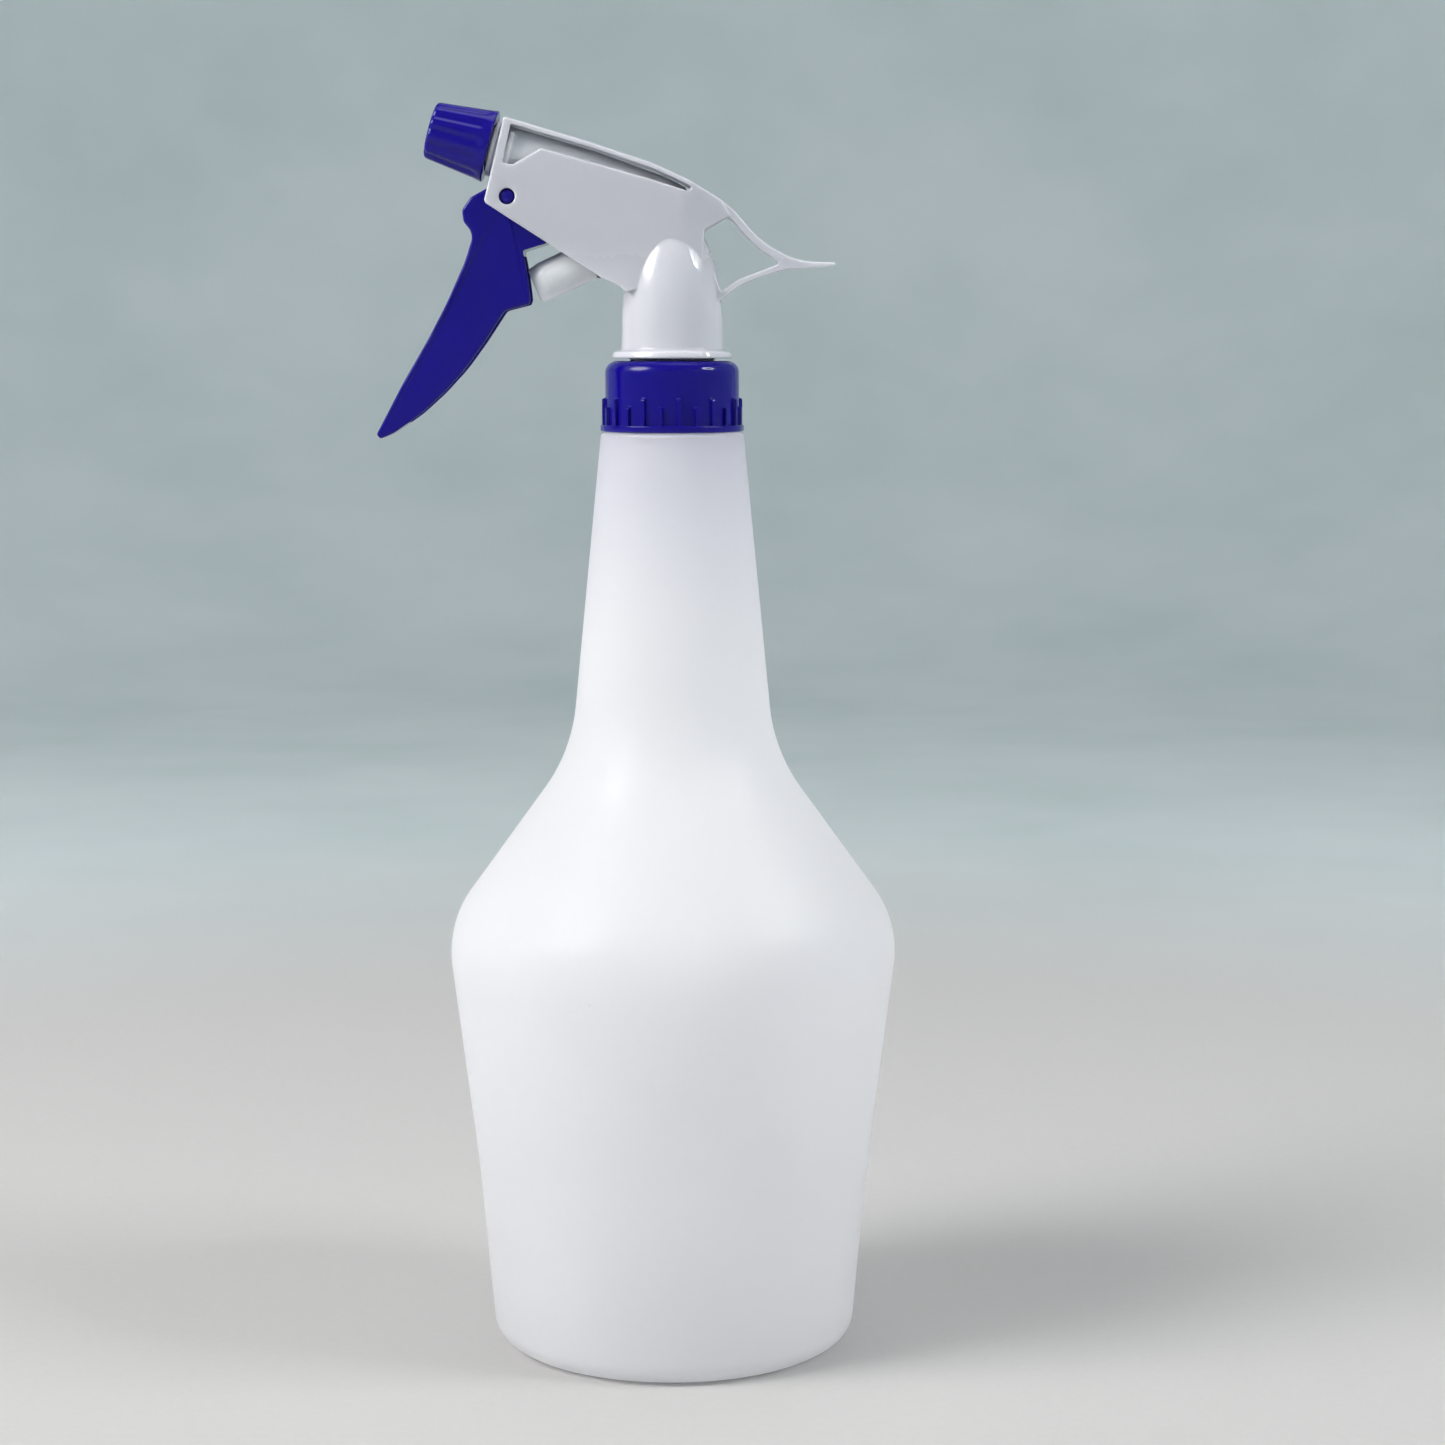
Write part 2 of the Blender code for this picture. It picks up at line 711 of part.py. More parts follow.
def add_pump(plastics, steel, rubber, pump_axis):
    """The piston, its two seals and its spring, along the pump's axis."""
    profile = rounded(
        [
            (0.0, 0.0),
            (4.1, 0.0, 0.4),
            (4.7, 3.0),
            (4.7, 14.6),
            (4.1, 14.6),
            (4.1, 15.8),
            (4.7, 15.8),
            (4.7, 20.2),
            (4.1, 20.2),
            (4.1, 21.4),
            (4.7, 21.4),
            (4.7, 22.4),
            (3.2, 22.4),
            (3.2, 3.0),
            (0.0, 3.0),
        ],
        closed=False,
    )
    mesh_object("piston", turned(profile, PISTON_ROUND), plastics, pump_axis)
    for name, low in (("vent_seal", 14.7), ("pressure_seal", 20.3)):
        mesh_object(name, turned(ring(4.19, 4.88, low, low + 1.0), PISTON_ROUND), rubber, pump_axis)
    coil("return_spring", 2.4, 0.4, 3.7, 31.3, 8, steel, pump_axis)


def add_barrel_insides(plastics, steel, rubber, barrel_axis):
    """The outlet valve, the swirl core and the nose's seal, along the barrel's axis."""
    ball("outlet_valve_ball", 2.2, 15.9, steel, barrel_axis)
    coil("outlet_valve_spring", 1.9, 0.25, 18.7, 26.9, 7, steel, barrel_axis)
    stem = [(0.0, 56.8), (1.2, 56.8), (1.2, 56.5), (2.9, 56.5), (2.9, 52.0), (2.3, 52.0), (1.6, 50.0), (1.6, 27.5)]
    spinner = mesh_object("spinner", turned([*stem, (0.0, 27.5)], SMALL_ROUND), plastics, barrel_axis)
    grooves = merged([block((2.2, -0.5, 51.0), (4.0, 0.5, 58.0))])
    for i, turn in enumerate((0.0, 120.0, 240.0)):
        groove = grooves.copy()
        bmesh.ops.rotate(groove, verts=groove.verts, matrix=Matrix.Rotation(math.radians(turn), 3, "Z"))
        boolean(spinner, mesh_object(f"swirl_groove_{i}", groove, parent=barrel_axis), "DIFFERENCE")
    grooves.free()
    mesh_object("nozzle_seal_ring", turned(ring(4.58, 5.5, 51.65, 52.65), PISTON_ROUND), rubber, barrel_axis)


def add_nozzle(material, barrel_axis):
    """The fluted cap, with its thread and the spray hole."""
    flutes, per_flute, depth = 12, 4, 0.45
    low, high = 45.3, 60.35
    rear, front = 8.84, 7.0
    profile = rounded(
        [
            (0.45, high - 0.7),
            (3.4, high - 0.7),
            (3.8, high),
            (front, high, 1.1),
            (rear - 0.15, low + 1.2),
            (rear, low, 0.3),
            (5.9, low),
            (5.9, 51.0),
            (5.1, 51.0),
            (5.1, 51.5),
            (5.65, 51.5),
            (5.65, 52.8),
            (5.1, 52.8),
            (5.1, 58.5),
            (0.45, 58.5),
        ]
    )
    cap = turned(profile, flutes * per_flute)
    for vert in cap.verts:
        reach = vert.co.xy.length
        if reach < 6.4 or vert.co.z < low + 0.1:
            continue
        phase = math.atan2(vert.co.y, vert.co.x) * flutes
        fade = min(1.0, (vert.co.z - low) / 1.5)
        vert.co.xy *= 1 - depth * fade * (0.5 + 0.5 * math.cos(phase)) / reach
    nozzle = mesh_object("nozzle_cap", cap, material, barrel_axis)
    rib = thread(5.9, 5.25, 0.7, 0.35, turn=math.pi, **NOZZLE_THREAD)
    boolean(nozzle, mesh_object("nozzle_thread", rib, parent=barrel_axis), "UNION")
    return nozzle


def add_suction(plastics, tube_material, rubber, steel, parent):
    """What hangs below the head: inlet valve, tube adapter, its seal, the dip tube and its filter."""
    adapter = [
        (2.8, 249.7),
        (4.2, 249.7),
        (4.2, 245.0),
        (3.6, 245.0),
        (3.6, 243.8),
        (4.2, 243.8),
        (4.2, 239.8),
        (6.5, 239.8),
        (6.5, 238.8),
        (4.6, 238.8),
        (4.3, 230.0),
        (3.3, 230.0),
        (3.3, 242.5),
        (1.6, 242.5),
        (1.6, 246.0),
        (2.8, 246.0),
    ]
    mesh_object("tube_adapter", turned(adapter, SMALL_ROUND), plastics, parent)
    mesh_object("adapter_seal", turned(ring(3.7, 4.42, 243.9, 244.9), SMALL_ROUND), rubber, parent)
    ball("inlet_valve_ball", 2.2, 247.8, steel, parent)
    mesh_object("dip_tube", turned(ring(2.2, 3.0, 9.0, 242.2), SMALL_ROUND), tube_material, parent)
    cup = [(3.3, 16.0), (4.2, 16.0), (4.2, 5.0), (0.0, 5.0), (0.0, 6.2), (3.3, 6.2)]
    strainer = mesh_object("inlet_filter", turned(cup, SMALL_ROUND), plastics, parent)
    for i, turn in enumerate((0.0, 90.0)):
        slot = block((-6.0, -0.6, 4.0), (6.0, 0.6, 8.2))
        bmesh.ops.rotate(slot, verts=slot.verts, matrix=Matrix.Rotation(math.radians(turn), 3, "Z"))
        boolean(strainer, mesh_object(f"filter_slot_{i}", slot), "DIFFERENCE")


def main():
    clear_scene()
    milky = plastic("milky_hdpe", (0.80, 0.79, 0.81), 0.38)
    blue = plastic("blue_plastic", (0.018, 0.010, 0.40), 0.28)
    white = plastic("white_plastic", (0.62, 0.62, 0.68), 0.35)
    clear = plastic("clear_plastic", (0.66, 0.68, 0.72), 0.25, alpha=0.8)
    steel = plastic("spring_steel", (0.6, 0.6, 0.6), 0.25, metallic=1.0)
    rubber = plastic("seal_rubber", (0.12, 0.12, 0.13), 0.6)
    lift = axis_empty("thread_lift", (0.0, 0.0), 0.0)
    head = axis_empty("head_swivel_axis", (0.0, 0.0), 0.0)
    head.parent = lift
    barrel_axis = axis_empty("barrel_axis", BARREL_FOOT, BARREL_SLOPE - math.pi / 2)
    pump_axis = axis_empty("pump_axis", PUMP_FACE, math.pi / 2 - PUMP_SLOPE)
    barrel_axis.parent = head
    pump_axis.parent = head
    add_bottle(milky)
    add_collar(blue, lift)
    mesh_object("neck_gasket", turned(ring(8.6, 12.3, 238.9, 239.8)), rubber, lift)
    add_housing(white, head, barrel_axis)
    add_valve_body(clear, head, barrel_axis, pump_axis)
    add_trigger(blue, head)
    add_pump(clear, steel, rubber, pump_axis)
    add_barrel_insides(clear, steel, rubber, barrel_axis)
    add_nozzle(blue, barrel_axis)
    add_suction(white, clear, rubber, steel, head)


main()
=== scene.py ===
"""The looks of a one-litre trigger spray bottle: finely shaped pieces, plastics, light and camera.

Shapes are worked out in millimetres and turned into metres as each piece is made. Side outlines are (x, z)
in the plane y = 0, and turned profiles are (radius, height). The bottle stands on z = 0 with its nozzle
towards -X.
"""

import json
import math

import bmesh
import bpy
from mathutils import Matrix, Vector


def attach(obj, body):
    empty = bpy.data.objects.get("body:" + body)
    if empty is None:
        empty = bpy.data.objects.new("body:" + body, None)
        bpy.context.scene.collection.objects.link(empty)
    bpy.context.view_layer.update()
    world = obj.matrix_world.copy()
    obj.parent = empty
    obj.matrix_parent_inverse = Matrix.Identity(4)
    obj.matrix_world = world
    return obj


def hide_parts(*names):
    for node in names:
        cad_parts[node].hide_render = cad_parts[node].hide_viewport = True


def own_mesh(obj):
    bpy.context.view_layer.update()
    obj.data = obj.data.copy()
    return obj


MM = 0.001
ARC_TOLERANCE = 0.004  # furthest a chord lies inside its arc, in millimetres
COLUMNS = 240  # facets round a large turned piece
SMALL_COLUMNS = 96
SMOOTH_ANGLE = math.radians(32)
SKIN = 0.22  # mesh size of a moulded piece's skin

# Camera and light, in metres and degrees
CAMERA_PLACE = (0.01225, -0.74714, 0.24534)
CAMERA_PITCH = 6.926
CAMERA_LENS = 75.99
AIM = Vector((0.0, 0.0, 0.17))  # what the lamps point at
LEFT_PLACE, LEFT_RADIUS, LEFT_GLOW = (-1.2, -0.56, 1.14), 0.6, 15.0
TOP_PLACE, TOP_RADIUS, TOP_GLOW = (0.15, 0.35, 1.9), 0.75, 1.9
RING_PLACE, RING_RADIUS, RING_WIDTH, RING_GLOW = (1.0, -0.29, 0.93), 0.20, 0.045, 50.0
SKY_GLOW = 0.26

# Bottle
WALL = 1.2
FLOOR = 2.0
MOUTH_Z = 238.6
FINISH_R = 12.6
NECK_TOP = (17.4, 225.75)
NECK_FOOT = (25.03, 147.5)
SHOULDER = (56.2, 104.6)
WAIST = (48.65, 45.0)
BASE_R = 44.65
GROOVE = (12.0, 34.0, 0.8)
SEAM_HEIGHT = 0.07
SEAM_HALF = 0.35

# Threads: pitch, centre of the first turn, turns
NECK_THREAD = {"pitch": 4.23, "start": 232.4, "turns": 1.0}
NOZZLE_THREAD = {"pitch": 3.0, "start": 46.6, "turns": 1.13}
THREAD_FLANKS = {"neck": (1.0, 0.5), "nozzle": (0.7, 0.35)}  # half widths at the root and at the crest

# Screw collar
COLLAR_Z = (226.1, 243.2)
COLLAR_R = 16.3
COLLAR_RIM = (17.5, 1.7)
COLLAR_BORE_R = 14.3
COLLAR_TOP = 1.5
COLLAR_HOLE_R = 10.6
RIB_COUNT = 24
RIB_R = 17.15
RIB_WIDTH = 1.0
RIB_TOPS = (234.4, 232.3)
RIB_TURN = math.radians(6.5)

# Head
CHEEK_Y = 8.3
CHEEK_INNER_Y = 7.0
ROOF_ROUNDING = 2.0
NARROWING_X = 2.0
NARROWING_POWER = 1.4  # how late the narrowing starts to tell
TAIL_ROOT_X, TAIL_ROOT_Y = 14.0, 4.8
TAIL_TIP_X, TAIL_TIP_Y = 39.5, 1.2
TAIL_STEP = 0.2
WINDOW_Y = 4.3
DOME_FOOT = (12.25, 250.0)
DOME_TOP = 279.0
DOME_POWER = 2.15  # 2 is an ellipse, and more is squarer
FLANGE_Z = (243.8, 245.8)
FLANGE_R = 14.8
NECK_R = 10.2
BARREL_SLOPE = math.radians(15.5)
BARREL_FOOT = (0.0, 282.35)
PUMP_SLOPE = math.radians(24.5)
PUMP_FACE = (-33.2, 261.3)
PIVOT = (-39.36, 282.32)
PIVOT_PIN_R = 1.8
TRIGGER_Y = 6.4
TRIGGER_TIP_Y = 4.6
TRIGGER_SKIRT = 1.3
RISER_R = 5.6

# Axes as ((x, z) of the origin, tilt from +Z towards +X)
UPRIGHT = ((0.0, 0.0), 0.0)
BARREL = (BARREL_FOOT, BARREL_SLOPE - math.pi / 2)
PUMP = (PUMP_FACE, math.pi / 2 - PUMP_SLOPE)


# ---------------------------------------------------------------- outlines


def arc_corner(before, corner, after, radius):
    """The points of a round corner of this radius between two straight runs."""
    here = Vector(corner)
    to_before = (Vector(before) - here).normalized()
    to_after = (Vector(after) - here).normalized()
    half = to_before.angle(to_after) / 2
    turn = math.pi - 2 * half
    centre = here + (to_before + to_after).normalized() * (radius / math.sin(half))
    start = here + to_before * (radius / math.tan(half)) - centre
    way = 1 if start.cross(here - centre) > 0 else -1
    steps = math.ceil(turn / (2 * math.acos(1 - ARC_TOLERANCE / radius)))
    rotations = (Matrix.Rotation(way * turn * i / steps, 2) for i in range(steps + 1))
    return [tuple(centre + rotation @ start) for rotation in rotations]


def rounded(points, closed=True):
    """An outline of (a, b) or (a, b, radius) points, with each given radius drawn as an arc."""
    count = len(points)
    outline = []
    for i, point in enumerate(points):
        ends = not closed and i in (0, count - 1)
        if len(point) == 2 or ends:
            outline.append(tuple(point[:2]))
            continue
        before = points[i - 1][:2]
        after = points[(i + 1) % count][:2]
        outline += arc_corner(before, point[:2], after, point[2])
    return outline


def inset(points, distances):
    """The corners of an open outline after each of its runs moves to its right by its own distance."""
    moved = []
    for (a, b), distance in zip(zip(points, points[1:]), distances, strict=True):
        run = (Vector(b[:2]) - Vector(a[:2])).normalized()
        side = Vector((run.y, -run.x)) * distance
        moved.append((Vector(a[:2]) + side, run))
    corners = [tuple(moved[0][0])]
    for (p, u), (q, v) in zip(moved, moved[1:]):
        corners.append(tuple(p + u * ((q - p).cross(v) / u.cross(v))))
    last, run = moved[-1]
    end = Vector(points[-1][:2]) - Vector(points[-2][:2])
    corners.append(tuple(last + run * end.length))
    return corners


def divided(profile, low, high, step, closed=True):
    """A profile with points added so that its runs between two heights are no longer than step."""
    ends = profile[1:] + profile[:1] if closed else profile[1:] + profile[-1:]
    fine = []
    for a, b in zip(profile, ends):
        inside = low <= (a[1] + b[1]) / 2 <= high
        count = max(1, math.ceil(math.dist(a, b) / step)) if inside else 1
        fine += [(a[0] + (b[0] - a[0]) * i / count, a[1] + (b[1] - a[1]) * i / count) for i in range(count)]
    return fine


def ring(inner, outer, low, high, edge=0.1):
    """The profile of a ring or tube with slightly round edges."""
    return rounded([(inner, high, edge), (outer, high, edge), (outer, low, edge), (inner, low, edge)])


def rod(radius, low, high):
    """The profile of a plain round rod on the axis."""
    return [(0.0, high), (radius, high), (radius, low), (0.0, low)]


# ---------------------------------------------------------------- meshes


def even(count):
    """Angles spread evenly round the axis."""
    return [math.tau * i / count for i in range(count)]


def spread(turn, steps):
    """Angles from 0 to this turn in even steps."""
    return [turn * i / steps for i in range(steps + 1)]


def turned(profile, angles=None, reach=None):
    """A closed profile turned about Z. If given, reach(angle, r, z) replaces a point's radius r."""
    angles = angles or even(SMALL_COLUMNS)
    bm = bmesh.new()
    rings = []
    for r, z in profile:
        if r < 1e-6:
            rings.append([bm.verts.new((0.0, 0.0, z))] * len(angles))
            continue
        radii = [reach(angle, r, z) if reach else r for angle in angles]
        rings.append([bm.verts.new((q * math.cos(a), q * math.sin(a), z)) for q, a in zip(radii, angles)])
    loops = list(zip(rings, rings[1:]))
    if profile[0][0] > 0 or profile[-1][0] > 0:
        loops.append((rings[-1], rings[0]))
    for a, b in loops:
        for i in range(len(angles)):
            corners = list(dict.fromkeys((a[i - 1], a[i], b[i], b[i - 1])))
            if len(corners) > 2:
                bm.faces.new(corners)
    return bm


def extruded(outline, half_width, edge=0.0, segments=4):
    """An (x, z) outline made into a plate from -half_width to half_width in y, with its rims rounded."""
    bm = bmesh.new()
    face = bm.faces.new([bm.verts.new((x, -half_width, z)) for x, z in outline])
    far = bmesh.ops.extrude_face_region(bm, geom=[face])["geom"]
    far_verts = [item for item in far if isinstance(item, bmesh.types.BMVert)]
    bmesh.ops.translate(bm, verts=far_verts, vec=(0.0, 2 * half_width, 0.0))
    if edge:
        flat = [e for e in bm.edges if abs(e.verts[0].co.y - e.verts[1].co.y) < 1e-6]
        bmesh.ops.bevel(bm, geom=flat, offset=edge, segments=segments, profile=0.5, affect="EDGES")
    return bm


def both_sides(outline, half_width, middle):
    """Two plates of one outline, with their middles this far from the plane y = 0."""
    plates = []
    for side in (-1, 1):
        plate = extruded(outline, half_width)
        bmesh.ops.translate(plate, verts=plate.verts, vec=(0.0, side * middle, 0.0))
        plates.append(plate)
    return plates


def block(low, high):
    """A box between two corners."""
    bm = bmesh.new()
    bmesh.ops.create_cube(bm, size=1.0)
    bmesh.ops.scale(bm, verts=bm.verts, vec=Vector(high) - Vector(low))
    bmesh.ops.translate(bm, verts=bm.verts, vec=(Vector(high) + Vector(low)) / 2)
    return bm


def blocks_about(low, high, turns):
    """Copies of a box, each turned about Z."""
    copies = []
    for turn in turns:
        bm = block(low, high)
        bmesh.ops.rotate(bm, verts=bm.verts, matrix=Matrix.Rotation(turn, 3, "Z"))
        copies.append(bm)
    return copies


def placing(axis, unit=1.0):
    """The matrix from an axis's own frame to the object's."""
    (x, z), tilt = axis
    return Matrix.Translation((x * unit, 0.0, z * unit)) @ Matrix.Rotation(tilt, 4, "Y")


def laid(bm, axis):
    """Moves a shape made about Z onto one of the slanting axes."""
    bm.transform(placing(axis))
    return bm


def mesh_of(name, bm, matrix=None):
    """A shape's mesh, with its faces turned outwards and its points moved by a matrix if given."""
    bmesh.ops.recalc_face_normals(bm, faces=bm.faces)
    if matrix is not None:
        bm.transform(matrix)
    mesh = bpy.data.meshes.new(name)
    bm.to_mesh(mesh)
    bm.free()
    return mesh


def linked(name, data):
    """A new object in the scene that holds a mesh or a camera."""
    obj = bpy.data.objects.new(name, data)
    bpy.context.scene.collection.objects.link(obj)
    return obj


def loose(bm):
    """A temporary object that holds a shape while modifiers work on it."""
    return linked("loose", mesh_of("loose", bm))


def settled(obj, others=()):
    """The shape that an object's modifiers give, as a bmesh; the temporary objects go."""
    graph = bpy.context.evaluated_depsgraph_get()
    mesh = bpy.data.meshes.new_from_object(obj.evaluated_get(graph))
    bm = bmesh.new()
    bm.from_mesh(mesh)
    bpy.data.meshes.remove(mesh)
    for used in (obj, *others):
        data = used.data
        bpy.data.objects.remove(used)
        bpy.data.meshes.remove(data)
    return bm


def joined(solids, cutters=()):
    """Closed shapes joined into one, with the cutters taken away."""
    first, *more = [loose(bm) for bm in solids]
    tools = [loose(bm) for bm in cutters]
    for others, operation in ((more, "UNION"), (tools, "DIFFERENCE")):
        for other in others:
            step = first.modifiers.new("step", "BOOLEAN")
            step.operation = operation
            step.solver = "MANIFOLD"
            step.object = other
    return settled(first, [*more, *tools])


def moulded(bm, easing, share):
    """An even skin over a shape, with its edges and inner corners eased as a mould leaves them."""
    obj = loose(bm)
    even_skin = obj.modifiers.new("even_skin", "REMESH")
    even_skin.mode = "VOXEL"
    even_skin.voxel_size = SKIN
    eased = obj.modifiers.new("eased", "SMOOTH")
    eased.factor = 0.5
    eased.iterations = easing
    fewer = obj.modifiers.new("fewer", "DECIMATE")
    fewer.ratio = share
    return settled(obj)


def finished(node, bm, material, axis=UPRIGHT, sharp=SMOOTH_ANGLE):
    """Makes the piece that stands for a CAD node, with that node's body and material slot."""
    mesh = mesh_of(f"{node}_shape", bm, placing(axis, MM) @ Matrix.Scale(MM, 4))
    mesh.shade_smooth()
    if sharp:
        mesh.set_sharp_from_angle(angle=sharp)
    mesh.materials.append(material)
    piece = linked(f"{node}_shape", mesh)
    record = frame["record"]
    body = next(name for name, members in record["behaviour"]["bodies"].items() if node in members)
    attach(piece, body)
    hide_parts(node)
    return piece


def eased(share):
    """A share from 0 to 1 with a soft start and end."""
    share = min(max(share, 0.0), 1.0)
    return share * share * (3 - 2 * share)


def thread_share(angle, z, thread, flanks, turn=0.0):
    """How far a thread's rib stands up at a place on its wall, from 0 to 1."""
    half_root, half_crest = flanks
    runout = 0.15  # of a turn, at each end
    highest = 0.0
    for lap in (0.0, 1.0):
        at = (angle - turn) % math.tau / math.tau + lap
        if at > thread["turns"]:
            continue
        away = abs(z - thread["start"] - thread["pitch"] * at)
        side = (half_root - away) / (half_root - half_crest)
        ends = min(at, thread["turns"] - at) / runout
        highest = max(highest, eased(side) * min(1.0, ends))
    return highest


# ---------------------------------------------------------------- bottle and collar


def bottle_reach(angle, r, z):
    """The shell's radius: the parting line down both sides in the plane y = 0, and the neck's thread."""
    if z > NECK_TOP[1] and r > FINISH_R - 0.1:
        return r + 1.05 * thread_share(angle, z, NECK_THREAD, THREAD_FLANKS["neck"])
    if r < 10 or z < 0.5:
        return r
    away = abs((angle + math.pi / 2) % math.pi - math.pi / 2) * r
    return r - SEAM_HEIGHT * (1.1 - eased((SEAM_HALF - away) / SEAM_HALF + 0.4))


def bottle_profiles():
    """The shell's outer and inner profiles, both from the mouth down."""
    corners = [
        (FINISH_R, MOUTH_Z),
        (FINISH_R, NECK_TOP[1], 0.4),
        (*NECK_TOP, 1.0),
        (*NECK_FOOT, 42.0),
        (*SHOULDER, 26.0),
        (*WAIST, 500.0),
        (BASE_R, 0.0, 6.0),
        (0.0, 0.0),
    ]
    walls = [WALL] * (len(corners) - 2) + [FLOOR]
    inner_corners = inset(corners, walls)
    inner_radii = [None, 0.6, 0.8, 42.0 + WALL, 26.0 - WALL, 500.0, 6.0 - WALL, None]
    inner = [(*c, r) if r else c for c, r in zip(inner_corners, inner_radii, strict=True)]
    groove_in, groove_out, depth = GROOVE
    base = rounded(
        [(groove_out + 2, 0.0), (groove_out, 0.0, 1.0), (groove_out - 1, depth, 1.0)]
        + [(groove_in + 1, depth, 1.0), (groove_in, 0.0, 1.0), (groove_in - 2, 0.0)],
        closed=False,
    )
    outer = rounded(corners, closed=False)
    return outer[:-1] + base + outer[-1:], rounded(inner, closed=False)


def add_bottle(material):
    """The blow-moulded shell: fine profile, neck thread, parting line and the ring pressed into its base."""
    outer, inner = bottle_profiles()
    profile = divided(outer + inner[::-1], 229.0, MOUTH_Z, 0.25, closed=False)
    profile = divided(profile, 10.0, 222.0, 8.0, closed=False)
    beside_seam = [math.radians(d) for d in (0.1, 0.25, 0.4, 0.6, 0.9)]
    extra = [middle + side * d for middle in (0.0, math.pi) for side in (-1, 1) for d in beside_seam]
    angles = sorted({round(a % math.tau, 6) for a in even(COLUMNS) + extra})
    finished("bottle", turned(profile, angles, bottle_reach), material)


def rib_angles():
    """Angles round the collar that crowd at the sides of each rib."""
    beside = (0.15, 0.3, 0.4, 0.47, 0.54, 0.62, 0.75, 1.1, 1.6)  # distances from a rib's middle
    offsets = [0.0] + [side * d / RIB_R for side in (-1, 1) for d in beside]
    middles = [RIB_TURN - math.pi / 2 + math.tau * i / RIB_COUNT for i in range(RIB_COUNT)]
    return sorted((middle + offset) % math.tau for middle in middles for offset in offsets)


def collar_reach(angle, r, z):
    """The collar's radius: long and short grip ribs outside, and the thread inside."""
    low, rim_height = COLLAR_Z[0], COLLAR_RIM[1]
    if abs(r - COLLAR_BORE_R) < 0.01 and z > low + 1:
        depth = COLLAR_BORE_R - FINISH_R - 0.4
        return r - depth * thread_share(angle, z, NECK_THREAD, THREAD_FLANKS["neck"], turn=math.pi)
    if not COLLAR_R - 0.2 < r < COLLAR_R + 0.01 or z < low + rim_height:
        return r
    steps = (angle - RIB_TURN + math.pi / 2) / math.tau * RIB_COUNT
    nearest = round(steps)
    away = abs(steps - nearest) / RIB_COUNT * math.tau * COLLAR_R
    side = eased((RIB_WIDTH / 2 + 0.12 - away) / 0.24)
    end = eased((RIB_TOPS[nearest % 2] - z) / 0.45)
    return r + (RIB_R - COLLAR_R) * side * end


def add_collar(material):
    """The screw collar with its grip ribs and thread."""
    low, high = COLLAR_Z
    rim_r, rim_height = COLLAR_RIM
    profile = rounded(
        [
            (COLLAR_HOLE_R, high, 0.3),
            (COLLAR_R, high, 2.8),
            (COLLAR_R, low + rim_height),
            (rim_r, low + rim_height, 0.35),
            (rim_r, low, 0.5),
            (COLLAR_BORE_R, low, 0.3),
            (COLLAR_BORE_R, high - COLLAR_TOP),
            (COLLAR_HOLE_R, high - COLLAR_TOP, 0.3),
        ]
    )
    profile = divided(profile, low + rim_height + 0.01, 240.3, 0.22)
    finished("screw_collar", turned(profile, rib_angles(), collar_reach), material, sharp=math.radians(50))


# ---------------------------------------------------------------- head


def head_outline():
    """The side of the cheek plates, roof and rear hump, clockwise from the top of the front plate."""
    return rounded(
        [
            (-39.92, 301.08, 0.3),
            (-38.0, 300.6),
            (-20.4, 295.4),
            (-4.2, 290.1, 40.0),
            (4.7, 286.0, 20.0),
            (11.9, 281.6),
            (14.0, 278.0),
            (7.9, 274.5),
            (7.5, 267.6),
            (6.5, 261.0),
            (-6.5, 261.0),
            (-8.4, 260.3),
            (-11.0, 259.7, 0.9),
            (-12.6, 261.2, 1.2),
            (-16.85, 263.04, 2.0),
            (-44.9, 281.0, 1.2),
            (-42.67, 289.92),
        ]
    )


def half_width(x):
    """Half the head's width at x: that of the cheek plates, then curving in to the narrow tail."""
    if x < TAIL_ROOT_X:
        bend = max(0.0, (x - NARROWING_X) / (TAIL_ROOT_X - NARROWING_X))
        return CHEEK_Y + (TAIL_ROOT_Y - CHEEK_Y) * bend**NARROWING_POWER
    share = min(1.0, (x - TAIL_ROOT_X) / (TAIL_TIP_X - TAIL_ROOT_X))
    return TAIL_ROOT_Y + (TAIL_TIP_Y - TAIL_ROOT_Y) * share


def narrowed(bm, wall=0.0, widest=CHEEK_Y):
    """Brings an extruded outline's sides in to the head's half width, less a wall, where it narrows."""
    facing = (1.0, 0.0, 0.0)
    bends = [NARROWING_X + (TAIL_ROOT_X - NARROWING_X) * i / 16 for i in range(17)]
    for x in bends:
        everything = [*bm.verts, *bm.edges, *bm.faces]
        bmesh.ops.bisect_plane(bm, geom=everything, dist=0.01, plane_co=(x, 0.0, 0.0), plane_no=facing)
    for vert in bm.verts:
        side = math.copysign(1.0, vert.co.y)
        vert.co.y = side * min(abs(vert.co.y), half_width(vert.co.x) - wall, widest)
    return bm


def rim_rounding(edge):
    """How widely a rim of the head is rounded: the roof most, then the front, then the other edges."""
    low, high = sorted(edge.verts, key=lambda v: v.co.z)
    run = high.co - low.co
    if low.co.y * high.co.y < 0 or abs(edge.calc_face_angle()) < math.radians(10):
        return 0.0
    if abs(run.x) > abs(run.z) and low.co.z > PIVOT[1] - 1:
        return ROOF_ROUNDING
    return 0.9 if high.co.x < -39.0 else 0.3


def head_block():
    """The head's outer block with its rims rounded."""
    bm = narrowed(extruded(head_outline(), CHEEK_Y))
    weight = bm.edges.layers.float.new("bevel_weight_edge")
    for edge in bm.edges:
        edge[weight] = rim_rounding(edge) / ROOF_ROUNDING
    obj = loose(bm)
    bevel = obj.modifiers.new("rims", "BEVEL")
    bevel.width = ROOF_ROUNDING
    bevel.segments = 6
    bevel.limit_method = "WEIGHT"
    return settled(obj)


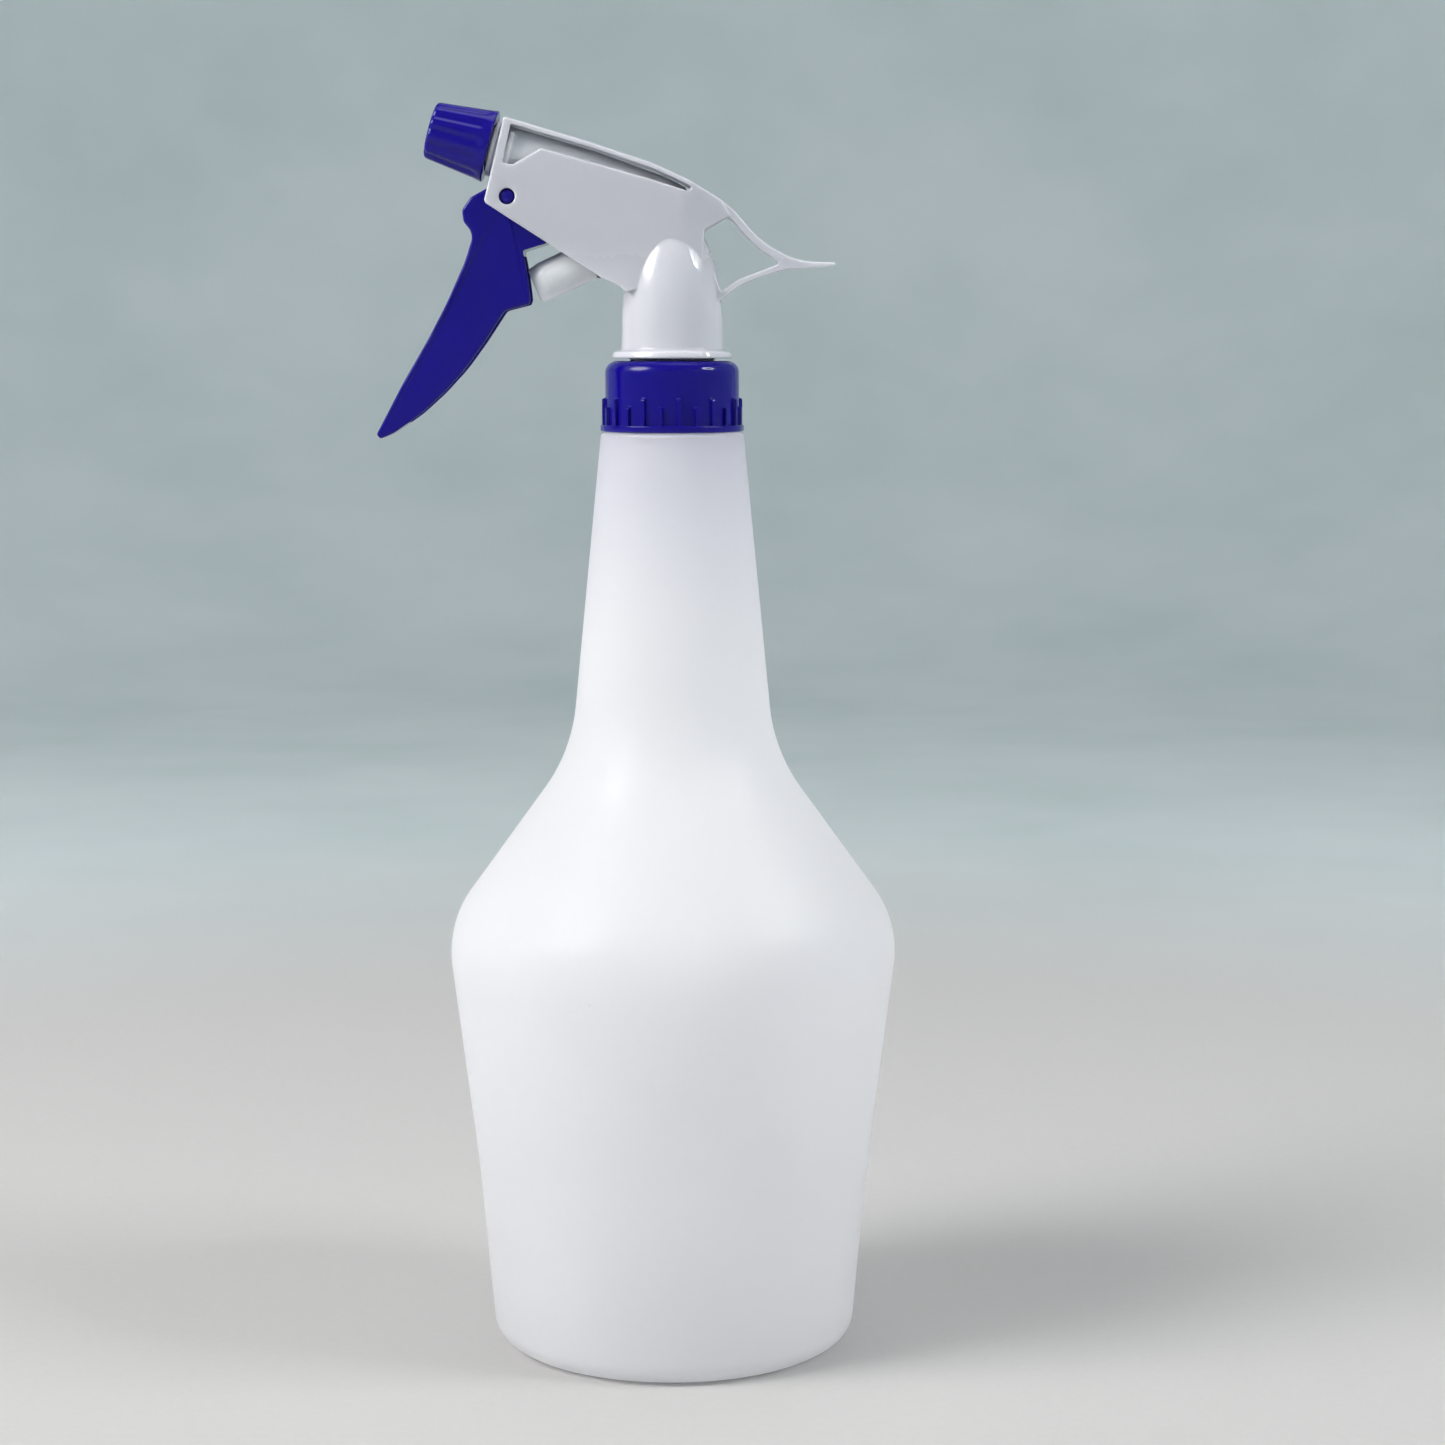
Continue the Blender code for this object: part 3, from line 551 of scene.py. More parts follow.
def interior_outline():
    """The space between the cheek plates, open below and in front of the pivot."""
    return [
        (-38.5, 299.6),
        (-20.4, 294.4),
        (-4.2, 288.9),
        (4.0, 285.1),
        (8.4, 282.2),
        (8.6, 278.5),
        (6.7, 273.0),
        (7.9, 267.0),
        (9.0, 261.5),
        (-14.0, 261.5),
        (-50.0, 272.0),
        (-52.0, 285.0),
        (-42.6, 286.0),
    ]


def window_outline():
    """The gap on each side between the roof and a cheek plate's sloping top edge."""
    return rounded(
        [
            (-38.3, 299.4, 0.4),
            (-20.4, 294.2),
            (-4.2, 288.8, 20.0),
            (0.8, 286.6, 3.0),
            (5.1, 284.5, 0.5),
            (4.0, 283.6, 0.5),
            (-5.0, 286.45, 20.0),
            (-30.94, 293.72, 0.8),
            (-38.0, 289.75, 0.8),
            (-40.35, 290.3),
        ]
    )


def tail():
    """The looped tail: two straps from the hump and the dome that join in a spike."""
    outer = [
        (4.7, 286.0),
        (11.64, 282.06, 25.0),
        (15.76, 278.48, 25.0),
        (18.9, 274.65, 25.0),
        (22.9, 271.0, 25.0),
        (28.6, 268.0, 15.0),
        (33.6, 267.0, 15.0),
        (39.5, 266.9),
        (39.5, 266.1),
        (32.2, 265.4, 15.0),
        (27.0, 265.2, 15.0),
        (21.0, 263.3, 25.0),
        (15.85, 261.1, 15.0),
        (10.4, 256.6),
        (8.2, 262.0),
        (6.9, 275.0),
    ]
    hole = [
        (9.6, 276.2, 1.8),
        (12.2, 277.9, 1.6),
        (14.6, 276.9, 3.0),
        (17.0, 274.0, 15.0),
        (21.8, 269.6, 25.0),
        (26.2, 266.6, 0.4),
        (21.8, 264.9, 25.0),
        (15.8, 262.7, 15.0),
        (11.9, 259.7, 0.4),
        (10.9, 262.5),
        (8.7, 268.5),
        (7.5, 273.5),
    ]
    body = narrowed(extruded(rounded(outer), CHEEK_Y), TAIL_STEP, TAIL_ROOT_Y - TAIL_STEP)
    return joined([body], [extruded(rounded(hole), 2 * CHEEK_Y)])


def dome_profile():
    """The glossy dome with the flange under it and the neck that stands in the collar."""
    low, high = FLANGE_Z
    foot_r, foot_z = DOME_FOOT
    dome = []
    for angle in spread(math.pi / 2, 60)[:-1]:
        out = math.sin(angle) ** (2 / DOME_POWER)
        up = math.cos(angle) ** (2 / DOME_POWER)
        dome.append((foot_r * out, foot_z + (DOME_TOP - foot_z) * up))
    return rounded(
        [
            *dome,
            DOME_FOOT,
            (12.4, high, 0.8),
            (14.2, high - 0.4, 0.4),
            (FLANGE_R, low, 0.3),
            (NECK_R, low),
            (NECK_R, COLLAR_Z[1] - COLLAR_TOP),
            (0.0, COLLAR_Z[1] - COLLAR_TOP),
        ],
        closed=False,
    )


def dome_space():
    """The hollow inside the dome and its neck, open at the bottom."""
    return [
        (0.0, 276.0),
        (5.0, 275.0),
        (7.0, 271.8),
        (8.2, 268.0),
        (9.6, 263.6),
        (10.4, 258.0),
        (10.9, 249.0),
        (8.7, 246.0),
        (8.7, 230.0),
        (0.0, 230.0),
    ]


def across(radius, half_length, dome=0.0):
    """A round rod through the pivot from side to side, with domed ends if asked."""
    angles = spread(math.pi / 2, 8)
    cap = [(radius * math.sin(a), half_length - dome * (1 - math.cos(a))) for a in angles]
    top = cap if dome else rod(radius, -half_length, half_length)[:2]
    bm = turned(top + [(r, -z) for r, z in reversed(top)])
    bm.transform(Matrix.Translation((PIVOT[0], 0.0, PIVOT[1])) @ Matrix.Rotation(math.pi / 2, 4, "X"))
    return bm


def add_housing(material):
    """The white head: cheek plates, roof, dome, flange and tail as one hollow moulding."""
    depth = 3.0  # of a window, halved
    cutters = [
        narrowed(extruded(interior_outline(), CHEEK_INNER_Y), CHEEK_Y - CHEEK_INNER_Y),
        turned(dome_space(), even(COLUMNS)),
        laid(turned(rod(6.4, 40.0, 46.0)), BARREL),
        laid(block((-12.0, -6.4, 41.0), (0.0, 6.4, 46.0)), BARREL),
        across(PIVOT_PIN_R + 0.15, 12.0),
        *both_sides(window_outline(), depth, WINDOW_Y + depth),
    ]
    solid = joined([head_block(), turned(dome_profile(), even(COLUMNS)), tail()], cutters)
    finished("housing", moulded(solid, 5, 0.3), material, sharp=None)


# ---------------------------------------------------------------- valve moulding


def barrel_reach(angle, r, z):
    """The barrel's radius, with the thread on its nose."""
    if abs(r - 4.9) < 0.01:
        return r + 0.6 * thread_share(angle, z, NOZZLE_THREAD, THREAD_FLANKS["nozzle"])
    return r


def add_valve_body(material):
    """The translucent moulding with every bore of the pump in it."""
    barrel = [
        (0.0, 56.0),
        (4.5, 56.0, 0.3),
        (4.5, 51.0),
        (4.9, 51.0),
        (4.9, 45.0),
        (7.0, 45.0, 0.4),
        (7.0, 43.8, 0.3),
        (6.05, 43.8),
        (5.7, 21.0),
        (4.4, 3.0),
        (3.2, -3.0, 1.0),
        (0.0, -3.0),
    ]
    base = [
        (0.0, 281.0),
        (RISER_R - 1.2, 281.0, 0.5),
        (RISER_R, 262.0),
        (RISER_R, 245.0),
        (8.4, 245.0, 0.3),
        (8.4, 241.4),
        (12.2, 241.4, 0.2),
        (12.2, 240.1, 0.2),
        (0.0, 240.1),
    ]
    barrel = divided(rounded(barrel, closed=False), 45.1, 51.0, 0.2, closed=False)
    riser_bores = [(0.0, 281.4), (1.8, 281.4), (1.8, 251.6), (2.8, 251.6), (2.8, 250.0), (4.5, 250.0)]
    barrel_bores = [(0.0, 57.0), (3.2, 57.0), (3.2, 14.0), (1.6, 14.0), (1.6, -1.0), (0.0, -1.0)]
    pump_bores = [(0.0, 37.0), (0.9, 37.0), (0.9, 32.0), (5.0, 32.0), (5.0, 16.0), (0.0, 16.0)]
    vent = turned(rod(0.7, 238.0, 247.0), even(24))
    bmesh.ops.translate(vent, verts=vent.verts, vec=(7.0, 0.0, 0.0))
    solids = [
        turned(rounded(base, closed=False)),
        laid(turned(barrel, reach=barrel_reach), BARREL),
        laid(block((-4.5, -6.7, 39.9), (4.5, 6.7, 41.2)), BARREL),
        laid(turned(rod(6.1, 17.0, 33.5)), PUMP),
    ]
    cutters = [
        turned([*riser_bores, (4.5, 239.0), (0.0, 239.0)]),
        block((-2.5, -0.5, 251.0), (2.5, 0.5, 253.5)),
        vent,
        laid(turned(barrel_bores), BARREL),
        laid(turned(pump_bores), PUMP),
    ]
    finished("valve_body", moulded(joined(solids, cutters), 3, 0.3), material, sharp=None)


# ---------------------------------------------------------------- trigger


def trigger_outline():
    """The lever's side: knuckle, finger curve, tip, back edge, claw and the hub round the pivot."""
    return rounded(
        [
            (-44.05, 284.44, 1.0),
            (-48.2, 282.2, 1.8),
            (-50.3, 279.2, 2.0),
            (-49.95, 276.4, 2.0),
            (-47.6, 273.4, 3.5),
            (-49.66, 266.99, 30.0),
            (-54.13, 257.15, 60.0),
            (-58.5, 248.96, 60.0),
            (-65.15, 237.71, 60.0),
            (-71.7, 225.4, 0.6),
            (-70.7, 224.4, 0.5),
            (-67.47, 225.8, 6.0),
            (-60.88, 230.34, 30.0),
            (-55.17, 235.55, 30.0),
            (-49.92, 241.24, 30.0),
            (-45.49, 247.27, 30.0),
            (-40.22, 255.22, 1.5),
            (-34.4, 256.7, 0.5),
            (-33.98, 257.9, 0.4),
            (-34.71, 264.16, 20.0),
            (-35.76, 269.53, 0.4),
            (-30.13, 271.23),
            (-28.5, 273.2, 1.0),
            (-35.4, 285.2, 2.0),
            (-40.5, 286.0, 2.0),
        ]
    )


def trigger_space():
    """The channel inside the lever, open at the back."""
    return [
        (-43.0, 270.0),
        (-46.0, 269.8),
        (-48.1, 265.6),
        (-52.5, 256.0),
        (-56.7, 248.2),
        (-63.0, 237.5),
        (-66.5, 230.5),
        (-60.0, 225.0),
        (-40.0, 235.0),
        (-25.0, 250.0),
        (-25.0, 266.4),
        (-38.0, 268.6),
    ]


def push_rib():
    """The rounded nose inside the lever that bears on the piston's face."""
    axis = Vector((math.cos(PUMP_SLOPE), math.sin(PUMP_SLOPE)))
    side = Vector((-axis.y, axis.x))
    radius = 2.0
    centre = Vector(PUMP_FACE) - axis * (radius + 0.3)
    turns = map(math.radians, range(-90, 91, 10))
    nose = [centre + (axis * math.cos(a) + side * math.sin(a)) * radius for a in turns]
    return [*nose, Vector((-50.0, 264.0)), Vector((-53.3, 256.5))]


def claw_step():
    """The part of each side face behind the lever's moulded line, which lies a little lower."""
    return rounded(
        [
            (-39.9, 279.5),
            (-38.6, 276.3, 6.0),
            (-37.3, 270.6, 30.0),
            (-36.3, 264.0, 30.0),
            (-35.3, 258.4, 2.0),
            (-35.6, 256.0),
            (-20.0, 256.0),
            (-20.0, 279.5),
        ]
    )


def taper_trigger(bm):
    """Narrows the lever evenly from its knuckle to its tip."""
    top, tip = 262.0, 224.0
    for vert in bm.verts:
        share = min(max((top - vert.co.z) / (top - tip), 0.0), 1.0)
        vert.co.y *= 1 + (TRIGGER_TIP_Y / TRIGGER_Y - 1) * share
    return bm


def add_trigger(material):
    """The lever with its channel, push rib, stepped sides and two pivot pins."""
    step_depth, beyond = 0.22, 1.5
    shell = taper_trigger(extruded(trigger_outline(), TRIGGER_Y, edge=0.6, segments=6))
    space = taper_trigger(extruded(trigger_space(), TRIGGER_Y - TRIGGER_SKIRT))
    steps = both_sides(claw_step(), beyond, TRIGGER_Y - step_depth + beyond)
    body = joined([shell, extruded(push_rib(), 1.6)], [space, *steps])
    whole = joined([body, across(PIVOT_PIN_R, 7.9, dome=0.9)])
    finished("trigger", moulded(whole, 4, 0.35), material, sharp=None)


# ---------------------------------------------------------------- nozzle


def nozzle_reach(angle, r, z):
    """The cap's radius: twelve flutes that die out before the rear rim, and the thread inside."""
    flutes, depth, rear = 12, 0.5, 45.3
    if abs(r - 5.9) < 0.01:
        return r - 0.65 * thread_share(angle, z, NOZZLE_THREAD, THREAD_FLANKS["nozzle"], turn=math.pi)
    if r < 6.2:
        return r
    groove = (0.5 + 0.5 * math.cos(angle * flutes)) ** 1.6
    fade = eased((z - rear - 0.7) / 2.6) * eased((r - 5.9) / 0.8)
    return r - depth * fade * groove


def add_nozzle(material):
    """The fluted cap, with its thread and the spray hole."""
    low, high = 45.3, 60.35
    rear, front = 8.74, 6.9
    profile = rounded(
        [
            (0.45, high - 1.0),
            (0.9, high - 0.7, 0.1),
            (2.2, high - 0.7, 0.1),
            (2.3, high - 0.9, 0.1),
            (3.3, high - 0.9, 0.3),
            (3.8, high, 0.3),
            (front, high, 1.1),
            (rear - 0.15, low + 1.2, 1.5),
            (rear, low, 0.3),
            (5.9, low, 0.2),
            (5.9, 51.0),
            (5.1, 51.0),
            (5.1, 51.5),
            (5.65, 51.5),
            (5.65, 52.8),
            (5.1, 52.8),
            (5.1, 58.5),
            (0.45, 58.5),
        ]
    )
    profile = divided(profile, low + 0.3, high - 1.2, 0.4)
    finished("nozzle_cap", turned(profile, even(COLUMNS), nozzle_reach), material, BARREL)


# ---------------------------------------------------------------- pump and valves


def coil(node, radius, wire, low, high, turns, material, axis):
    """A compression spring with flat ends, as a swept mesh."""
    sides, per_turn, flat_turns = 12, 28, 1.0
    upwards = Vector((0.0, 0.0, 1.0))
    count = turns * per_turn
    bm = bmesh.new()
    sections = []
    for i in range(count + 1):
        at = turns * i / count
        rise = min(max((at - flat_turns) / (turns - 2 * flat_turns), 0.0), 1.0)
        flat = 2.3 * wire * (min(at, flat_turns) + max(at - turns + flat_turns, 0.0))
        z = low + flat + rise * (high - low - 4.6 * wire * flat_turns)
        angle = math.tau * at
        outwards = Vector((math.cos(angle), math.sin(angle), 0.0))
        centre = outwards * radius + Vector((0.0, 0.0, z))
        spokes = [outwards * math.cos(t) + upwards * math.sin(t) for t in even(sides)]
        sections.append([bm.verts.new(centre + spoke * wire) for spoke in spokes])
    for a, b in zip(sections, sections[1:]):
        for i in range(sides):
            bm.faces.new((a[i], a[i - 1], b[i - 1], b[i]))
    bm.faces.new(sections[0])
    bm.faces.new(reversed(sections[-1]))
    return finished(node, bm, material, axis, sharp=math.radians(60))


def squashed(spring):
    """Gives the spring a mesh of its own."""
    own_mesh(spring)


def add_pump(plastic, steel, rubber):
    """The piston, its two seals and its spring."""
    profile = rounded(
        [
            (0.0, 0.0),
            (4.1, 0.0, 0.5),
            (4.7, 3.0, 0.6),
            (4.7, 14.6, 0.1),
            (4.1, 14.6, 0.1),
            (4.1, 15.8, 0.1),
            (4.7, 15.8, 0.1),
            (4.7, 20.2, 0.1),
            (4.1, 20.2, 0.1),
            (4.1, 21.4, 0.1),
            (4.7, 21.4, 0.1),
            (4.7, 22.4, 0.2),
            (3.2, 22.4, 0.1),
            (3.2, 3.0),
            (0.0, 3.0),
        ],
        closed=False,
    )
    finished("piston", turned(profile), plastic, PUMP)
    for node, low in (("vent_seal", 14.7), ("pressure_seal", 20.3)):
        finished(node, turned(ring(4.19, 4.88, low, low + 1.0, 0.3)), rubber, PUMP)
    low, high, travel = 3.7, 31.3, 8.5
    spring = coil("return_spring", 2.4, 0.4, low, high, 8, steel, PUMP)
    squashed(spring)


def ball(node, radius, at, material, axis):
    """A valve ball."""
    profile = [(radius * math.sin(a), at + radius * math.cos(a)) for a in spread(math.pi, 24)]
    profile[0], profile[-1] = (0.0, at + radius), (0.0, at - radius)
    finished(node, turned(profile, even(48)), material, axis)


def add_barrel_insides(plastic, steel, rubber):
    """The outlet valve, the swirl core and the nose's seal."""
    ball("outlet_valve_ball", 2.2, 15.9, steel, BARREL)
    low, high, travel = 18.7, 26.9, 1.2
    spring = coil("outlet_valve_spring", 1.9, 0.25, low, high, 7, steel, BARREL)
    squashed(spring)
    head = [(0.0, 56.8), (1.2, 56.8), (1.2, 56.5), (2.9, 56.5), (2.9, 52.0)]
    stem = [(2.3, 52.0), (1.6, 50.0), (1.6, 27.5), (0.0, 27.5)]
    grooves = blocks_about((2.2, -0.5, 51.0), (4.0, 0.5, 58.0), even(3))
    finished("spinner", joined([turned(head + stem)], grooves), plastic, BARREL)
    finished("nozzle_seal_ring", turned(ring(4.58, 5.5, 51.65, 52.65, 0.3)), rubber, BARREL)


def add_suction(plastic, clear, rubber, steel):
    """What hangs below the head: gasket, inlet valve, tube adapter, its seal, the dip tube and its filter."""
    adapter = [
        (2.8, 249.7),
        (4.2, 249.7),
        (4.2, 245.0),
        (3.6, 245.0),
        (3.6, 243.8),
        (4.2, 243.8),
        (4.2, 239.8),
        (6.5, 239.8, 0.2),
        (6.5, 238.8, 0.2),
        (4.6, 238.8),
        (4.3, 230.0, 0.3),
        (3.3, 230.0, 0.2),
        (3.3, 242.5),
        (1.6, 242.5),
        (1.6, 246.0),
        (2.8, 246.0),
    ]
    finished("neck_gasket", turned(ring(8.6, 12.3, 238.9, 239.8, 0.2)), rubber)
    finished("tube_adapter", turned(rounded(adapter)), plastic)
    finished("adapter_seal", turned(ring(3.7, 4.42, 243.9, 244.9, 0.3)), rubber)
    ball("inlet_valve_ball", 2.2, 247.8, steel, UPRIGHT)
    finished("dip_tube", turned(ring(2.2, 3.0, 9.0, 242.2)), clear)
    cup = [(3.3, 16.0), (4.2, 16.0, 0.2), (4.2, 5.0, 0.4), (0.0, 5.0), (0.0, 6.2), (3.3, 6.2)]
    slots = blocks_about((-6.0, -0.6, 4.0), (6.0, 0.6, 8.2), (0.0, math.pi / 2))
    finished("inlet_filter", joined([turned(rounded(cup, closed=False))], slots), plastic)


# ---------------------------------------------------------------- materials


class Shader:
    """One procedural material, whose patterns are measured in millimetres on the piece itself."""

    def __init__(self, name):
        self.material = bpy.data.materials.new(name)
        self.material.use_nodes = True
        self.tree = self.material.node_tree
        self.surface = self.tree.nodes["Principled BSDF"]
        self.place = self.add("TexCoord").outputs["Object"]

    def add(self, kind, inputs=None, **settings):
        """A node whose inputs are numbers, colours or other nodes' outputs."""
        new = self.tree.nodes.new(f"ShaderNode{kind}")
        for key, value in settings.items():
            setattr(new, key, value)
        for socket, value in (inputs or {}).items():
            if isinstance(value, bpy.types.NodeSocket):
                self.tree.links.new(value, new.inputs[socket])
            else:
                new.inputs[socket].default_value = value
        return new

    def fixed(self, **values):
        """Sets numbers that are the same all over the surface."""
        for name, value in values.items():
            self.surface.inputs[name.replace("_", " ")].default_value = value

    def drive(self, name, value):
        """Drives one of the surface's inputs from a pattern."""
        self.tree.links.new(value, self.surface.inputs[name])

    def millimetres(self, stretch=(1.0, 1.0, 1.0), turn=(0.0, 0.0, 0.0)):
        """Places on the piece in millimetres, squeezed by stretch along each axis."""
        scale = tuple(s / MM for s in stretch)
        return self.add("Mapping", {"Vector": self.place, "Scale": scale, "Rotation": turn}).outputs["Vector"]

    def noise(self, scale, detail=2.0, roughness=0.5, **direction):
        """A noise from 0 to 1, with scale features to the millimetre."""
        vector = self.millimetres(**direction)
        inputs = {"Vector": vector, "Scale": scale, "Detail": detail, "Roughness": roughness}
        return self.add("TexNoise", inputs).outputs["Fac"]

    def ranged(self, value, low, high, to_low=0.0, to_high=1.0):
        """A value between low and high brought to another range, and held there."""
        inputs = {"Value": value, "From Min": low, "From Max": high, "To Min": to_low, "To Max": to_high}
        return self.add("MapRange", inputs).outputs["Result"]

    def maths(self, operation, a, b):
        """The sum, product and so on of two values."""
        return self.add("Math", {0: a, 1: b}, operation=operation).outputs["Value"]

    def mixed(self, share, a, b):
        """One colour turning into another as share goes from 0 to 1."""
        new = self.add("Mix", {"Factor": share}, data_type="RGBA")
        for index, value in ((6, a), (7, b)):
            if isinstance(value, bpy.types.NodeSocket):
                self.tree.links.new(value, new.inputs[index])
            else:
                new.inputs[index].default_value = value
        return new.outputs[2]

    def bump(self, height, depth, under=None):
        """A bump of this depth in millimetres, on top of another bump if given."""
        inputs = {"Height": height, "Distance": depth * MM, "Strength": 1.0}
        if under:
            inputs["Normal"] = under
        return self.add("Bump", inputs).outputs["Normal"]

    def hairlines(self, stretch, turn, patches):
        """Fine straight scratches, only where patches allow."""
        lines = self.noise(5.0, 1.0, stretch=stretch, turn=turn)
        return self.maths("MULTIPLY", self.ranged(lines, 0.68, 0.74), patches)

    def specks(self, spacing, size, share):
        """Round specks about size across, one every spacing or so, in this share of the places for one."""
        inputs = {"Vector": self.millimetres(), "Scale": 1 / spacing}
        cells = self.add("TexVoronoi", inputs, feature="F1")
        dots = self.ranged(cells.outputs["Distance"], size / spacing / 2, size / spacing * 0.35)
        lot = self.add("SeparateColor", {"Color": cells.outputs["Color"]}).outputs["Red"]
        return self.maths("MULTIPLY", dots, self.maths("LESS_THAN", lot, share))


def rgba(color, factor=1.0):
    """A colour with its alpha, made lighter or darker."""
    return (*(min(1.0, c * factor) for c in color), 1.0)


# Near-white that a base colour is lightened towards as a painted highlight.
SHEEN_WHITE = rgba((0.9, 0.89, 0.94))
SCRATCHED = rgba((0.6, 0.6, 0.66))
DUSTY = rgba((0.75, 0.75, 0.78))


def rubbed_marks(shader):
    """Where handling has left hairline scratches, from 0 to 1."""
    patches = shader.ranged(shader.noise(0.09, 2.0), 0.48, 0.62)
    lengthwise = shader.hairlines((1.0, 1.0, 0.05), (0.0, 0.5, 0.3), patches)
    slanting = shader.hairlines((0.06, 1.0, 1.0), (0.4, 0.0, 0.9), patches)
    return shader.maths("MAXIMUM", lengthwise, slanting)


def moulded_plastic(shader, color, gloss, grain, mottle, dust, painted_sheen=0.0):
    """Injection-moulded plastic: flow mottling, a fine grain, hairline scratches, a little dust and, where
    asked, a painted highlight.

    gloss is its roughness, grain the share of the fine grain that shows, and painted_sheen how far the colour
    is lightened as a painted highlight.
    """
    flow = shader.noise(0.07, 3.0, 0.6, stretch=(1.0, 1.0, 0.5))
    base = shader.mixed(shader.ranged(flow, 0.3, 0.7), rgba(color, 1 - mottle), rgba(color, 1 + mottle))
    # Painted highlight: the base colour turns towards near-white by the painted_sheen share.
    base = shader.mixed(painted_sheen, base, SHEEN_WHITE)
    marks = rubbed_marks(shader)
    specks = shader.specks(4.5, 0.2, dust)
    worn = shader.mixed(shader.maths("MULTIPLY", marks, 0.01), base, SCRATCHED)
    shader.drive("Base Color", shader.mixed(shader.maths("MULTIPLY", specks, 0.4), worn, DUSTY))
    cloudy = shader.ranged(shader.noise(0.25, 4.0, 0.6), 0.3, 0.7, 0.85, 1.2)
    rough = shader.maths("MULTIPLY", gloss, cloudy)
    scuffed = shader.maths("ADD", rough, shader.maths("MULTIPLY", marks, 0.06))
    shader.drive("Roughness", shader.maths("ADD", scuffed, shader.maths("MULTIPLY", specks, 0.4)))
    peel = shader.bump(shader.noise(0.3, 1.0), 0.006)
    fine = shader.bump(shader.maths("MULTIPLY", shader.noise(6.0, 1.0), grain), 0.001, peel)
    shader.drive("Normal", shader.bump(shader.maths("SUBTRACT", specks, marks), 0.0005, fine))


def milky_hdpe():
    """The bottle's cloudy polyethylene, which lets light through: die lines, orange peel, and painted shade
    on the neck under the collar.
    """
    shader = Shader("milky_hdpe")
    color = (0.965, 0.96, 0.968)
    cloud = shader.noise(0.035, 3.0, 0.55)
    body = shader.mixed(shader.ranged(cloud, 0.3, 0.7), rgba(color, 0.985), rgba(color, 1.01))
    split = shader.add("SeparateXYZ", {"Vector": shader.millimetres()})
    # Painted shade: the colour darkens and cools from 170 mm up to the collar at 226 mm, where the collar
    # shades the neck.
    collar_shade = shader.ranged(split.outputs["Z"], 170.0, 226.0)
    neck_with_painted_shade = shader.mixed(shader.maths("POWER", collar_shade, 1.6), body, rgba((0.90, 0.893, 0.93)))
    specks = shader.specks(24.0, 0.55, 0.3)
    base = shader.mixed(shader.maths("MULTIPLY", specks, 0.3), neck_with_painted_shade, rgba((0.4, 0.39, 0.38)))
    shader.drive("Base Color", base)
    marks = rubbed_marks(shader)
    rough = shader.ranged(shader.noise(0.12, 4.0, 0.6), 0.3, 0.7, 0.32, 0.40)
    shader.drive("Roughness", shader.maths("ADD", rough, shader.maths("MULTIPLY", marks, 0.08)))
    wavy = shader.bump(shader.noise(0.03, 1.0), 0.12)
    die = shader.bump(shader.noise(0.9, 2.0, 0.6, stretch=(1.0, 1.0, 0.02)), 0.006, wavy)
    normal = shader.bump(shader.noise(0.5, 2.0), 0.006, die)
    shader.drive("Normal", normal)
    shader.fixed(IOR=1.5)
    through = shader.add("BsdfTranslucent", {"Color": base, "Normal": normal})
    both = shader.add("MixShader", {0: 0.72, 1: shader.surface.outputs[0], 2: through.outputs[0]})
    shader.tree.links.new(both.outputs[0], shader.tree.nodes["Material Output"].inputs["Surface"])
    return shader.material


def blue_plastic():
    """Deep ultramarine, glossy."""
    shader = Shader("blue_plastic")
    moulded_plastic(shader, (0.006, 0.002, 0.19), 0.12, 0.3, mottle=0.05, dust=0.03)
    shader.fixed(IOR=1.45, Specular_IOR_Level=0.28)
    return shader.material


def white_plastic():
    """The head's white polypropylene: satin cheeks with a fine grain, and a polished dome whose colour is
    painted paler as a painted highlight.
    """
    shader = Shader("white_plastic")
    split = shader.add("SeparateXYZ", {"Vector": shader.millimetres()})
    beyond_cheeks = shader.ranged(shader.maths("ABSOLUTE", split.outputs["Y"], 0.0), 8.4, 8.7)
    below_cheeks = shader.ranged(split.outputs["Z"], 272.0, 257.0)
    # The dome and what lies below the cheeks: glossier, without grain, and painted paler as a painted
    # highlight.
    polish_and_painted_sheen = shader.maths("MAXIMUM", beyond_cheeks, below_cheeks)
    gloss = shader.ranged(polish_and_painted_sheen, 0.0, 1.0, 0.34, 0.05)
    grain = shader.ranged(polish_and_painted_sheen, 0.0, 1.0, 1.0, 0.0)
    # Painted highlight: the dome's base colour is lightened by up to a fifth towards near-white.
    painted_sheen = shader.ranged(polish_and_painted_sheen, 0.0, 1.0, 0.0, 0.2)
    moulded_plastic(shader, (0.525, 0.52, 0.56), gloss, grain, mottle=0.012, dust=0.03, painted_sheen=painted_sheen)
    shader.fixed(Subsurface_Weight=0.8, Subsurface_Radius=(1.0, 1.0, 1.0), Subsurface_Scale=0.003, IOR=1.49)
    return shader.material


def clear_plastic():
    """Natural translucent polypropylene."""
    shader = Shader("clear_plastic")
    moulded_plastic(shader, (0.76, 0.765, 0.80), 0.2, 0.5, mottle=0.03, dust=0.02)
    shader.fixed(Subsurface_Weight=0.8, Subsurface_Radius=(1.0, 1.0, 1.05), Subsurface_Scale=0.003, IOR=1.49)
    return shader.material


def spring_steel():
    """Bright drawn wire and polished balls, with fine drawing lines."""
    shader = Shader("spring_steel")
    lines = shader.noise(6.0, 2.0, stretch=(1.0, 1.0, 0.1))
    tint = shader.ranged(shader.noise(0.4, 2.0), 0.3, 0.7)
    shader.drive("Base Color", shader.mixed(tint, rgba((0.58, 0.58, 0.6)), rgba((0.66, 0.65, 0.63))))
    shader.drive("Roughness", shader.ranged(lines, 0.3, 0.7, 0.16, 0.3))
    shader.drive("Normal", shader.bump(lines, 0.002))
    shader.fixed(Metallic=1.0)
    return shader.material


